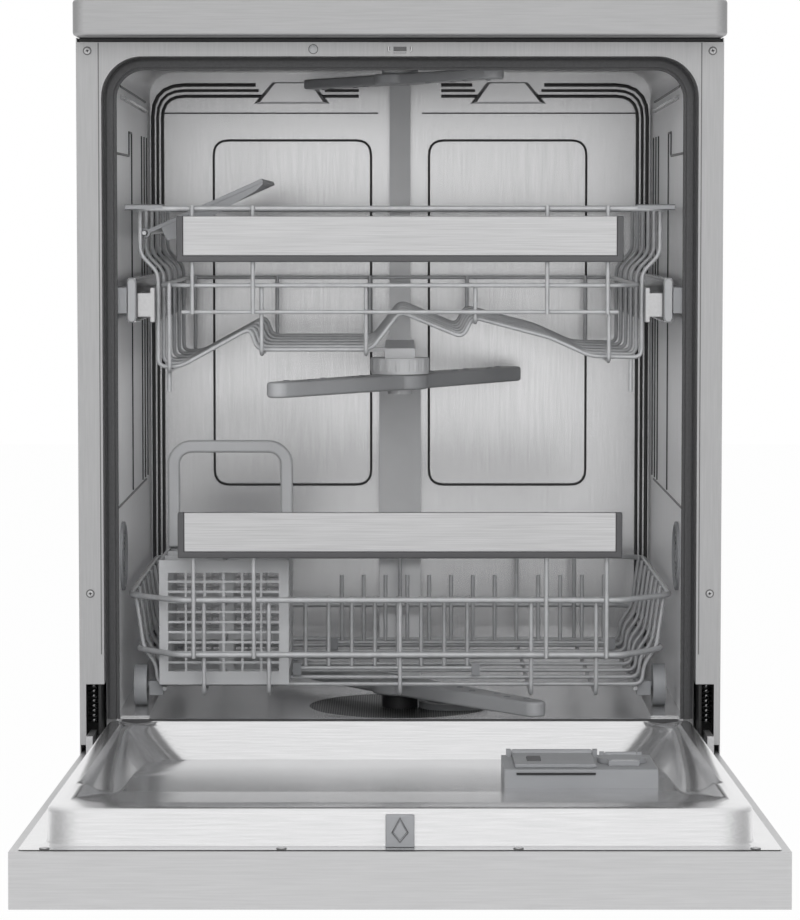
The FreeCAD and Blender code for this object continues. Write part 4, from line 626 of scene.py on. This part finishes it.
def eased_parts():
    """Mouldings and pressings with their edges eased."""
    for node, body, width in (
        ("worktop", "cabinet", 0.0028),
        ("door_outer_panel", "door", 0.0009),
        ("dispenser_body", "door", 0.0022),
        ("detergent_lid", "detergent_lid", 0.0012),
        ("rinse_aid_cap", "rinse_aid_cap", 0.0012),
        ("latch_housing", "door", 0.0010),
        ("upper_handle_frame", "upper_rack", 0.0010),
        ("lower_handle_frame", "lower_rack", 0.0010),
        ("upper_handle_bar", "upper_rack", 0.0010),
        ("lower_handle_bar", "lower_rack", 0.0010),
        ("cutlery_handle", "lower_rack", 0.0028),
        ("mid_spray_arm", "mid_spray_arm", 0.0030),
        ("lower_spray_arm", "lower_spray_arm", 0.0030),
        ("ceiling_spray_arm", "ceiling_spray_arm", 0.0022),
        ("feed_duct", "cabinet", 0.0026),
        ("cup_shelf", "cup_shelf", 0.0014),
        ("rack_carriers", "upper_rack", 0.0012),
        ("upper_rails", "upper_rails", 0.0008),
    ):
        softened(node, body, width)


def cutlery_lattice():
    """Cutlery basket with its fine windows."""
    low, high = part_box("cutlery_basket")
    # Thickness of the walls, bars between windows, bars of the dividers
    wall, bar, rib = 0.0025, 0.0022, 0.006
    work = bmesh.new()
    rise = bars(low[2], high[2], 0.0125, 0.0120, 10, bar)
    span = bars(low[0], high[0], 0.0085, 0.0095, 6, bar)
    for depth in (low[1], high[1] - wall):
        pierced(work, span, rise, depth, depth + wall, along_front)
    run = bars(low[1] + wall, high[1] - wall, 0.0080, 0.0080, 7, bar)
    for place in (low[0], high[0] - wall):
        pierced(work, run, rise, place, place + wall, along_side)
    inside = bars(low[0] + wall, high[0] - wall, 0.0040, 0.0040, 8, bar)
    pierced(work, inside, run, low[2], low[2] + wall, along_top)
    middle, half = (low[0] + high[0]) / 2, wall / 2
    upright = bars(low[2] + wall, high[2], rib, 0.010, 3, rib)
    length = bars(low[1] + wall, high[1] - wall, rib, rib, 3, rib)
    pierced(work, length, upright, middle - half, middle + half, along_side)
    for share in (1 / 3, 2 / 3):
        depth = low[1] + (high[1] - low[1]) * share
        for start, end in ((low[0] + wall, middle - half), (middle + half, high[0] - wall)):
            width = bars(start, end, rib, rib, 1, rib)
            pierced(work, width, upright, depth - half, depth + half, along_front)
    piece = meshed("cutlery_lattice", work, "lower_rack", "light_plastic")
    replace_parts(piece, "cutlery_basket")


# Washers as shares of the screw's head: radius, bore, height
WASHER_SPREAD, WASHER_BORE, WASHER_RISE = 1.35, 0.9, 0.45
# Plug and the shaded ring round it: (share of the radius, height)
PLUG_DOME = (
    (0, 0), (1, 0), (1, 0.0004), (0.86, 0.0006), (0.82, 0.0003), (0.76, 0.0005), (0.6, 0.0009), (0, 0.001),
)
PLUG_RING = ((0.95, 0), (1.14, 0), (1.14, 0.0004), (0.95, 0.0006))
# Latch strike: lines across its plate, foot and head of its windows
STRIKE_LINES = (-0.0120, -0.0092, -0.0060, 0.0060, 0.0092, 0.0120)
STRIKE_WINDOW = (0.0028, 0.0088)


def fasteners():
    """Cross-head screws, the plug and the latch strike on the front frame."""
    for node, body, axis, finish in (
        ("frame_screws", "cabinet", Vector((0, -1, 0)), "zinc"),
        ("door_screws", "door", Vector((0, 0, 1)), "zinc"),
    ):
        work, washers, shade = bmesh.new(), bmesh.new(), bmesh.new()
        for low, high in islands(node):
            height, radius = abs((high - low).dot(axis)), (high.x - low.x) / 2
            seat = (low + high) / 2 - axis * height / 2
            inner, rise = radius / WASHER_SPREAD, height * WASHER_RISE
            bore = inner * WASHER_BORE
            cross_screw(work, shade, seat, axis, inner, height)
            ringed(washers, ((bore, 0), (radius, 0), (radius, rise), (bore, rise)), seat, axis)
        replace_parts(meshed(node + "_cross", work, body, finish), node)
        meshed(node + "_washers", washers, body, "shadow_steel")
        # Painted shade: dark plates on the floors of the cross recesses
        meshed(node + "_recess", shade, body, "black_and_shade_steel")
    low, high = islands("frame_plug")[0]
    middle, radius = (low + high) / 2, (high.x - low.x) / 2
    seat = Vector((middle.x, high.y, middle.z))
    work = bmesh.new()
    turned(work, sized(PLUG_DOME, radius), seat, (0, -1, 0))
    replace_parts(meshed("frame_plug_dome", work, "cabinet", "light_plastic"), "frame_plug")
    work = bmesh.new()
    ringed(work, sized(PLUG_RING, radius), seat, (0, -1, 0))
    meshed("frame_plug_ring", work, "cabinet", "shadow_steel")
    low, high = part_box("latch_strike")
    work = bmesh.new()
    us = [low[0], *STRIKE_LINES, high[0]]
    vs = [low[2], *(low[2] + level for level in STRIKE_WINDOW), high[2]]
    pierced(work, us, vs, low[1], high[1], along_front)
    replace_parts(meshed("latch_strike_plate", work, "cabinet", "frame_steel"), "latch_strike")
    work = bmesh.new()
    outline = rectangle(us[1], us[-2], low[2], high[2] - 0.001)
    inner = rectangle(us[2], us[-3], low[2] + 0.001, high[2] - 0.002)
    tapered(work, outline, inner, high[1] + 0.0012, high[1] - 0.0001, along_front)
    meshed("latch_strike_shade", work, "cabinet", "shadow_steel")
    reach, foot, head = 0.0105, low[2] + 0.004, high[2] - 0.0015
    corners = ((-reach, head), (-reach, foot), (reach, foot), (reach, head))
    path = rounded([Vector((x, high[1], z)) for x, z in corners], 0.003)
    tubes("latch_strike_loop", [(path, 0.0010, False)], "cabinet", "bright_steel")


# Tub: half its inner width, panels of the back wall (outer and inner edge, foot, head), seam over them
TUB_HALF = 0.267
BACK_PANEL = (0.199, 0.031, 0.365, 0.7335)
SEAM_OUTER, SEAM_INNER, SEAM_LEVEL = -0.2550, -0.0235, 0.7625
# Arches in the top corners, dark lines of painted reflection: thickness of each line, steps inwards and down
# between them, their ends
ARCH_LINES, ARCH_STEP, ARCH_DROP = (0.0019, 0.0015, 0.0017), 0.0052, 0.0060
ARCH_SIDE, ARCH_FOOT, ARCH_TOP, ARCH_BEND = -0.2640, 0.190, 0.7925, 0.034
ARCH_END, TOP_START, TOP_END, END_SLANT = -0.1540, -0.0770, -0.0440, 0.6
# Dark lines on the side walls, painted reflection and shade: depth at both ends, height at both ends
SIDE_LINES = (
    (0.250, 0.250, 0.380, 0.735), (0.388, 0.388, 0.380, 0.735), (0.425, 0.425, 0.380, 0.735),
    (0.462, 0.462, 0.380, 0.735), (0.045, 0.440, 0.377, 0.377), (0.110, 0.450, 0.7765, 0.7720),
    (0.045, 0.215, 0.712, 0.712), (0.215, 0.215, 0.712, 0.735), (0.215, 0.250, 0.735, 0.735),
)
# Bosses of the back wall (across, up) and ribs of the side walls (back, up), at foot and top
BOSS_FOOT = ((0.156, 0.7725), (0.075, 0.7725), (0.093, 0.7955), (0.136, 0.7955))
BOSS_TOP = ((0.149, 0.7745), (0.082, 0.7745), (0.096, 0.7940), (0.133, 0.7940))
RIB_FOOT = ((0.118, 0.7690), (0.446, 0.7645), (0.446, 0.7600), (0.118, 0.7640))
RIB_TOP = ((0.122, 0.7680), (0.442, 0.7636), (0.442, 0.7610), (0.122, 0.7650))
# Side vents: depth and height of their middle, profile of the rim, spacing of the rings inside
VENT_DEPTH, VENT_HEIGHT = 0.110, 0.327
VENT_RIM = ((0.0330, 0), (0.0330, 0.0030), (0.0300, 0.0038), (0.0275, 0.0022), (0.0275, 0))
VENT_RINGS, VENT_SPACING = 4, 0.0052


def tub_relief():
    """Pressed lines of the tub: panels of the back wall, corner arches, side ribs and the top band. The lines
    are near-black tubes, painted shade and painted reflection along the pressings.
    """
    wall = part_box("tub_back")[0][1]
    outer, inner, foot, head = BACK_PANEL
    panels = [rectangle(sign * outer, sign * inner, foot, head) for sign in (-1, 1)]
    lines = [framed(corners, wall, 0.016, 0.0013) for corners in panels]
    for points in mirrored([Vector((x, wall, SEAM_LEVEL)) for x in (SEAM_OUTER, SEAM_INNER)]):
        lines.append((points, 0.0007, False))
    for k, thick in enumerate(ARCH_LINES):
        inset, top = ARCH_STEP * k, ARCH_TOP - ARCH_DROP * k
        side, slant = ARCH_SIDE + inset, inset * END_SLANT
        path = [Vector((x, wall, z)) for x, z in ((side, ARCH_FOOT), (side, top), (ARCH_END + slant, top))]
        for points in mirrored(path):
            lines.append((rounded(points, ARCH_BEND - inset), thick, False))
        for points in mirrored([Vector((x, wall, top)) for x in (TOP_START - slant, TOP_END)]):
            lines.append((points, thick, False))
    for start, end, low, high in SIDE_LINES:
        for points in mirrored([Vector((-TUB_HALF, start, low)), Vector((-TUB_HALF, end, high))]):
            lines.append((points, 0.0012, False))
    # Painted shade and painted reflection: the tub's pressed lines are drawn as near-black tubes
    tubes("tub_shade_lines", lines, "cabinet", "painted_shade_line_steel")
    work = bmesh.new()
    for sign in (-1, 1):
        tapered(work, sided(BOSS_FOOT, sign), sided(BOSS_TOP, sign), wall + 0.0005, wall - 0.005, along_front)
        tapered(work, RIB_FOOT, RIB_TOP, sign * (TUB_HALF + 0.0005), sign * (TUB_HALF - 0.003), along_side)
    meshed("tub_bosses", work, "cabinet", "tub_steel")
    work = bmesh.new()
    for sign in (-1, 1):
        centre, axis = (sign * (TUB_HALF + 0.0004), VENT_DEPTH, VENT_HEIGHT), (-sign, 0, 0)
        ringed(work, VENT_RIM, centre, axis, 48)
        for k in range(VENT_RINGS):
            inner, outer = VENT_SPACING * (k + 1) - 0.0014, VENT_SPACING * (k + 1) + 0.0004
            ringed(work, ((inner, 0), (inner, 0.0024), (outer, 0.0026), (outer, 0)), centre, axis, 40)
    meshed("side_vents", work, "cabinet", "grey_plastic")


# Nozzles: (share of the radius, height), share of the arm they take, step to either side
NOZZLE = ((0, -0.0008), (1, -0.0008), (1, 0.0005), (0.7, 0.0010), (0.4, 0.0010), (0.35, 0.0003), (0, 0.0003))
NOZZLE_REACH, NOZZLE_ZIGZAG = 0.94, 0.004


def sprays():
    """Nozzles on the spray arms and the ribbed nut of the upper feed."""
    for node, up, shares, radius in (
        ("mid_spray_arm", 1, (0.30, 0.46, 0.62, 0.78, 0.92), 0.0034),
        ("lower_spray_arm", 1, (0.30, 0.44, 0.58, 0.72, 0.84, 0.94), 0.0034),
        ("ceiling_spray_arm", -1, (0.35, 0.55, 0.75, 0.92), 0.0030),
    ):
        low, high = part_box(node)
        hub = Vector(((low[0] + high[0]) / 2, (low[1] + high[1]) / 2, high[2] if up > 0 else low[2]))
        flat = [Vector((vert.co.x - hub.x, vert.co.y - hub.y, 0)) for vert in nodes[node].data.vertices]
        reach = max(spot.length for spot in flat)
        tip = [spot for spot in flat if spot.length > reach * 0.985 and spot.y > 0]
        arm = (sum(tip, Vector()) / len(tip)).normalized() * reach
        across = Vector((-arm.y, arm.x, 0)).normalized()
        work = bmesh.new()
        for sign in (-1, 1):
            for k, share in enumerate(shares):
                spot = hub + arm * share * NOZZLE_REACH * sign + across * NOZZLE_ZIGZAG * (-1) ** k
                turned(work, sized(NOZZLE, radius), spot, (0, 0, up), 16)
        meshed(node + "_nozzles", work, node, "grey_plastic")
    low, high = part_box("mid_spray_arm")
    middle, foot, head = (low[1] + high[1]) / 2, high[2] + 0.0034, high[2] + 0.0150
    points, rib, groove = 72, 0.0296, 0.0286
    outline = []
    for k in range(points):
        turn = math.tau * (k + 0.5) / points
        reach = rib if k % 4 < 2 else groove
        outline.append((reach * math.cos(turn), middle + reach * math.sin(turn)))
    work = bmesh.new()
    plate(work, outline, foot, head, along_top)
    meshed("feed_nut_ribs", work, "upper_rack", "duct_plastic", 25.0)


# Outlines (across, up) round their middle: kite on the latch and tab on the rinse-aid cap
KITE = ((0, 0.0105), (0.0062, -0.0010), (0, -0.0085), (-0.0062, -0.0010))
CAP_TAB = ((-0.0125, -0.005), (0.0125, -0.005), (0.0105, 0.005), (-0.0105, 0.005))


def door_details():
    """Kite on the latch, square at the detergent lid and the painted shade of the slot by it, tab on the
    rinse-aid cap.
    """
    low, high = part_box("latch_housing")
    middle, face = (low[2] + high[2]) / 2, low[1]
    path = [Vector((u, face - 0.0001, middle + v)) for u, v in KITE]
    tubes("latch_kite_line", [(path, 0.0004, True)], "door", "dark_plastic")
    work = bmesh.new()
    base, top = (about(KITE, (0, middle), share, share) for share in (0.92, 0.75))
    tapered(work, base, top, face + 0.0006, face - 0.0004, along_front)
    meshed("latch_kite", work, "door", "grey_plastic")
    low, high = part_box("detergent_lid")
    work = bmesh.new()
    square = (0.106, 0.120, low[1] + 0.020, low[1] + 0.048)
    boss(work, square, (0.0015, 0.002), high[2] - 0.004, high[2] - 0.0003, along_top)
    meshed("lid_square", work, "detergent_lid", "dark_plastic")
    # Painted shade: a black strip on the dispenser's face stands for the dark of the slot at the lid
    work = bmesh.new()
    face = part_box("dispenser_body")[0][1]
    slot = (low[0] + 0.001, high[0] - 0.001, 0.1885, 0.1908)
    boss(work, slot, (0, 0.0003), face + 0.004, face - 0.0002, along_front)
    meshed("dispenser_slot_shade", work, "door", "black_plastic")
    low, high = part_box("rinse_aid_cap")
    work = bmesh.new()
    centre = ((low[0] + high[0]) / 2, low[1] + 0.006)
    tab, crown = about(CAP_TAB, centre), about(CAP_TAB, centre, 0.86, 0.8)
    tapered(work, tab, crown, high[2] - 0.003, high[2] - 0.0002, along_top)
    meshed("cap_tab", work, "rinse_aid_cap", "arm_plastic")


# Rail cones (radius, height), outline of the rail ends, lip of the cup shelf along and below it
RAIL_CONE = ((0, 0), (0.0130, 0), (0.0128, 0.0012), (0.0078, 0.0070), (0.0072, 0.0085), (0, 0.0085))
RAIL_END = (
    (0.0045, -0.018), (0.0045, 0.018), (0.0025, 0.021), (-0.0025, 0.021),
    (-0.0045, 0.018), (-0.0045, -0.018), (-0.0025, -0.021), (0.0025, -0.021),
)
LIP = ((0.016, 0.0005), (0.120, 0.0005), (0.121, 0.0045), (0.112, 0.0075), (0.024, 0.0165), (0.016, 0.0150))


def front_details():
    """Seams, painted shadow in the gap under the worktop, hinge springs, rail cones and ends, rim clips and
    cup shelf's lip.
    """
    across, half, foot, head = 0.2784, 0.0005, 0.245, 0.8125
    work = bmesh.new()
    for edge in (-across, across):
        plate(work, rectangle(edge - half, edge + half, foot, head), -0.0002, 0.0006, along_front)
    meshed("frame_seams", work, "cabinet", "shadow_steel")
    # Painted shadow: a black strip fills the gap between the worktop and the front frame
    work = bmesh.new()
    boss(work, (-0.2975, 0.2975, 0.8132, 0.8168), (0.001, 0.0004), 0.012, 0.002, along_front)
    meshed("worktop_gap_shadow", work, "cabinet", "black_plastic")
    across, depth, foot, length = 0.2885, 0.0335, 0.176, 0.056
    radius, wire, points, points_in_turn = 0.0045, 0.0009, 240, 20
    lines = []
    for sign in (-1, 1):
        coil = []
        for i in range(points + 1):
            turn = math.tau * i / points_in_turn
            swing = Vector((math.cos(turn), math.sin(turn), 0)) * radius
            coil.append(Vector((sign * across, depth, foot + length * i / points)) + swing)
        lines.append((coil, wire, False))
    tubes("hinge_springs", lines, "cabinet", "bright_steel")
    level = 0.574
    work = bmesh.new()
    for sign in (-1, 1):
        turned(work, RAIL_CONE, (sign * 0.2667, 0.0535, level), (-sign, 0, 0))
    meshed("rail_cones", work, "cabinet", "arm_plastic")
    work = bmesh.new()
    for sign in (-1, 1):
        outline, centre = sided(RAIL_END, sign), (sign * 0.252, level)
        tapered(work, about(outline, centre), about(outline, centre, 0.72, 0.94), 0.0445, 0.0415, along_front)
    meshed("rail_ends", work, "upper_rails", "arm_plastic")
    work = bmesh.new()
    for sign in (-1, 1):
        clip = (sign * 0.2585, sign * 0.2215, 0.6585, 0.6640)
        boss(work, clip, (0.001, 0.001), 0.0500, 0.0430, along_front)
    meshed("rim_clips", work, "upper_rack", "grey_plastic")
    start, slope = (-0.2412, 0.637), math.radians(24.6)
    sine, cosine = math.sin(slope), math.cos(slope)
    outline = [(cosine * run + sine * drop, sine * run - cosine * drop) for run, drop in LIP]
    work = bmesh.new()
    plate(work, about(outline, start), 0.0755, 0.0790, along_front)
    meshed("cup_shelf_lip", work, "cup_shelf", "grey_plastic")


def rear_details():
    """Pressed beads and fixing screws of the rear panel."""
    low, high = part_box("rear_panel")
    face, outer, inner, margin = high[1], 0.245, 0.030, 0.075
    foot, head = low[2] + margin, high[2] - margin
    frames = [rectangle(sign * outer, sign * inner, foot, head) for sign in (-1, 1)]
    lines = [framed(corners, face, 0.025, 0.0022) for corners in frames]
    tubes("rear_beads", lines, "cabinet", "zinc")
    work, shade = bmesh.new(), bmesh.new()
    from_side, from_end, middle = 0.012, 0.014, (low[2] + high[2]) / 2
    for x in (low[0] + from_side, 0.0, high[0] - from_side):
        for z in (low[2] + from_end, middle, high[2] - from_end):
            if x or z != middle:
                cross_screw(work, shade, (x, face, z), (0, 1, 0), 0.0042, 0.0018)
    meshed("rear_screws", work, "cabinet", "bright_steel")
    # Painted shade: dark plates on the floors of the cross recesses
    meshed("rear_screws_recess", shade, "cabinet", "black_and_shade_steel")


# Door liner, in metres with the door shut: hinge line, angle of the open door, face of the rim
PIVOT_DEPTH, PIVOT_HEIGHT = 0.010, 0.165
OPEN_ANGLE = math.radians(88.3)
RIM_FACE = 0.028
# Wheel tracks: edges across, end and run-out along the door, level with the door open, soft edges
TRACK_INNER, TRACK_OUTER, TRACK_END, TRACK_RUN_OUT = 0.232, 0.257, 0.571, 0.070
TRACK_LEVEL, TRACK_EDGE, TRACK_EASE = 0.1816, 0.002, 0.003
# Pan: height of its foot, of the crease of its floor and of its head, and the floor's depth at each
PAN_FOOT, PAN_CREASE, PAN_HEAD = 0.2075, 0.372, 0.575
FLOOR_FOOT, FLOOR_CREASE, FLOOR_HEAD = -0.0050, 0.0062, 0.0128
# Points of a loop across, round a bend and upwards
LOOP_POINTS = (64, 12, 110)
# Loops of hat and rim: half width, foot, head, corner radii at foot and head, face
FACE_LOOPS = (
    (0.2905, 0.1315, 0.8075, 0.004, 0.004, -0.0014),
    (0.2750, 0.1770, 0.7950, 0.008, 0.031, -0.0014),
    (0.2728, 0.1784, 0.7928, 0.007, 0.029, -0.0004),
    (0.2720, 0.1790, 0.7920, 0.006, 0.028, 0.0015),
    (0.2720, 0.1790, 0.7920, 0.006, 0.028, 0.0235),
    (0.2714, 0.1796, 0.7914, 0.006, 0.0275, 0.0258),
    (0.2700, 0.1806, 0.7900, 0.005, 0.026, 0.0272),
    (0.2680, 0.1820, 0.7880, 0.005, 0.024, RIM_FACE),
    (0.2610, 0.18488235, 0.77441176, 0.020, 0.024, RIM_FACE),
    (0.2590, 0.18570588, 0.77052941, 0.020, 0.024, RIM_FACE),
    (0.2570, 0.18652941, 0.76664706, 0.020, 0.024, RIM_FACE),
)
# Wall of the pan: loop at the rim, change down to the floor, steps between; loop of the bed
WALL_START, WALL_CHANGE = (0.2530, 0.1875, 0.757, 0.034, 0.034), (-0.022, 0.020, -0.182, 0.012, -0.020)
WALL_STEPS = 16
PAN_BED = (0.2290, PAN_CREASE, PAN_HEAD - 0.001, 0.004, 0.004)


def on_door(x, y, z):
    """A point of the shut door where it lies with the door let down."""
    depth, height = y - PIVOT_DEPTH, z - PIVOT_HEIGHT
    sine, cosine = math.sin(OPEN_ANGLE), math.cos(OPEN_ANGLE)
    back, up = depth * cosine - height * sine, depth * sine + height * cosine
    return Vector((x, PIVOT_DEPTH + back, PIVOT_HEIGHT + up))


def eased(value):
    """A step from 0 to 1 with soft ends."""
    value = max(0.0, min(1.0, value))
    return value * value * (3 - 2 * value)


def above(value, ease):
    """The part of a number above zero, with the corner at zero eased."""
    return (value + math.hypot(value, ease)) / 2


def liner_loop(half, low, high, foot, head):
    """A rounded rectangle on the door: foot and head are its corner radii, always with as many points."""
    across, bend, upward = LOOP_POINTS
    points = [(-half + foot + (2 * half - 2 * foot) * i / across, low) for i in range(across)]
    for side, start, end in ((1, low, high), (-1, high, low)):
        near, far = (foot, head) if side > 0 else (head, foot)
        step = 1 if side > 0 else -1
        for radius, centre, turn in ((near, start + step * near, 0), (far, end - step * far, 1)):
            for i in range(bend):
                angle = math.pi / 2 * (turn + i / bend)
                u, v = math.sin(angle), -math.cos(angle)
                points.append((side * (half - radius + radius * u), centre + step * radius * v))
            if turn == 0:
                run = high - low - foot - head
                points += [(side * half, start + step * (near + run * i / upward)) for i in range(upward)]
        if side > 0:
            width = 2 * half - 2 * head
            points += [(half - head - width * i / across, high) for i in range(across)]
    return points


def floor_height(z):
    """Depth of the pan's floor along the door: it falls towards the hinge in two slopes."""
    if z < PAN_CREASE:
        share = max(0.0, z - PAN_FOOT) / (PAN_CREASE - PAN_FOOT)
        return FLOOR_FOOT + (FLOOR_CREASE - FLOOR_FOOT) * share
    share = min(1.0, (z - PAN_CREASE) / (PAN_HEAD - PAN_CREASE))
    return FLOOR_CREASE + (FLOOR_HEAD - FLOOR_CREASE) * share


def tracked(x, y, z):
    """A point of the shut liner, lowered where a wheel track runs."""
    track = PIVOT_DEPTH + (TRACK_LEVEL - PIVOT_HEIGHT) - (z - PIVOT_HEIGHT) / math.tan(OPEN_ANGLE)
    inside = (
        eased((abs(x) - TRACK_INNER + TRACK_EDGE) / TRACK_EDGE)
        * eased((TRACK_OUTER + TRACK_EDGE - abs(x)) / TRACK_EDGE)
        * eased((TRACK_END + TRACK_RUN_OUT - z) / TRACK_RUN_OUT)
    )
    return x, y - inside * above(y - track, TRACK_EASE), z


def liner():
    """The pressed inner door: hat with rounded corners, flat rim, pan with sloping floor and wheel tracks."""
    loops = [[tracked(x, face, z) for x, z in liner_loop(*shape)] for *shape, face in FACE_LOOPS]
    for i in range(WALL_STEPS + 1):
        share = i / WALL_STEPS
        points = liner_loop(*(start + change * share for start, change in zip(WALL_START, WALL_CHANGE)))
        loops.append([tracked(x, RIM_FACE - (RIM_FACE - floor_height(z)) * share, z) for x, z in points])
    loops.append([(x, floor_height(z), z) for x, z in liner_loop(*PAN_BED)])
    work = bmesh.new()
    made = [[work.verts.new(on_door(*spot)) for spot in loop] for loop in loops]
    for one, two in zip(made, made[1:]):
        skinned(work, one, two)
    work.faces.new(made[-1])
    bmesh.ops.triangulate(work, faces=[face for face in work.faces if len(face.verts) > 4])
    piece = meshed("door_liner_pressing", work, "door", "liner_steel", 35.0)
    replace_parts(piece, "door_liner")


# Light gathered from the surroundings, their darkening to the sides in reflections, white of the floor
AMBIENT = 0.4
SIDE_SHADE = -0.5
FLOOR_GLOW = 0.98


def computed(tree, operation, *values):
    """The result of a math operation on numbers and sockets in a shader tree."""
    node = added(tree, "Math")
    node.operation = operation
    for socket, value in zip(node.inputs, values):
        if isinstance(value, (int, float)):
            socket.default_value = value
        else:
            tree.links.new(value, socket)
    return node.outputs["Value"]


def surroundings():
    """A white world, less bright where light is gathered and towards the sides of reflections."""
    world = bpy.data.worlds.new("studio")
    bpy.context.scene.world = world
    world.use_nodes = True
    tree = world.node_tree
    backdrop = tree.nodes["Background"]
    backdrop.inputs["Color"].default_value = (1, 1, 1, 1)
    path, spread = added(tree, "LightPath"), added(tree, "SeparateXYZ")
    links(tree, (added(tree, "TexCoord").outputs["Generated"], spread.inputs["Vector"]))
    side = computed(tree, "MULTIPLY", spread.outputs["X"], spread.outputs["X"])
    reflected = computed(tree, "MULTIPLY_ADD", side, SIDE_SHADE, 1.0 - AMBIENT)
    plain = computed(tree, "MAXIMUM", path.outputs["Is Camera Ray"], path.outputs["Is Transmission Ray"])
    level = computed(tree, "MULTIPLY_ADD", plain, 1.0 - AMBIENT, AMBIENT)
    level = computed(tree, "MULTIPLY_ADD", path.outputs["Is Glossy Ray"], reflected, level)
    links(tree, (level, backdrop.inputs["Strength"]))


def lights():
    """Large soft lights in front."""
    for name, place, aim, size, power in (
        ("front_light", (0.0, -2.7, 1.55), (0, 0.2, 0.5), 2.2, 70.0),
        ("left_light", (-2.4, -1.6, 1.3), (0, 0.1, 0.5), 1.8, 8.0),
        ("right_light", (2.4, -1.6, 1.3), (0, 0.1, 0.5), 1.8, 8.0),
    ):
        lamp = bpy.data.lights.new(name, "AREA")
        lamp.size = size
        lamp.energy = power
        holder = bpy.data.objects.new(name, lamp)
        holder.location = place
        holder.visible_glossy = False
        holder.rotation_euler = (Vector(aim) - Vector(place)).to_track_quat("-Z", "Y").to_euler()
        bpy.context.collection.objects.link(holder)


def ground():
    """A floor that is white to the eye and in reflections, and plain paint where light is gathered."""
    bpy.ops.mesh.primitive_plane_add(size=14, location=(0, 0, -0.0005))
    floor = bpy.context.object
    floor.name = "floor"
    material, tree, shader, _ = surface("floor_paint", (0.9, 0.9, 0.9), 0.0, 0.7)
    glow = added(tree, "Emission", [("Color", (1, 1, 1, 1))])
    path, blend = added(tree, "LightPath"), added(tree, "MixShader")
    seen = path.outputs["Is Camera Ray"]
    for name in ("Is Glossy Ray", "Is Transmission Ray"):
        seen = computed(tree, "MAXIMUM", seen, path.outputs[name])
    links(
        tree,
        (computed(tree, "MULTIPLY", seen, FLOOR_GLOW), blend.inputs["Fac"]),
        (shader.outputs["BSDF"], blend.inputs[1]),
        (glow.outputs["Emission"], blend.inputs[2]),
        (blend.outputs["Shader"], tree.nodes["Material Output"].inputs["Surface"]),
    )
    floor.data.materials.append(material)


def camera():
    """The photograph's camera, tilted down so that the horizon meets its row."""
    data = bpy.data.cameras.new("photo_camera")
    data.sensor_width = SENSOR
    data.lens = FOCAL_PIXELS * SENSOR / IMAGE_HEIGHT
    holder = bpy.data.objects.new("photo_camera", data)
    tilt = math.atan2(IMAGE_HEIGHT / 2 - HORIZON_ROW, FOCAL_PIXELS)
    holder.location = (0, -CAMERA_DISTANCE, EYE_HEIGHT)
    holder.rotation_euler = (math.pi / 2 - tilt, 0, 0)
    bpy.context.collection.objects.link(holder)
    bpy.context.scene.camera = holder


camera()
dress_nodes()
racks()
eased_parts()
cutlery_lattice()
fasteners()
tub_relief()
sprays()
door_details()
front_details()
rear_details()
liner()
surroundings()
lights()
ground()
bpy.context.scene.view_settings.view_transform = "Standard"
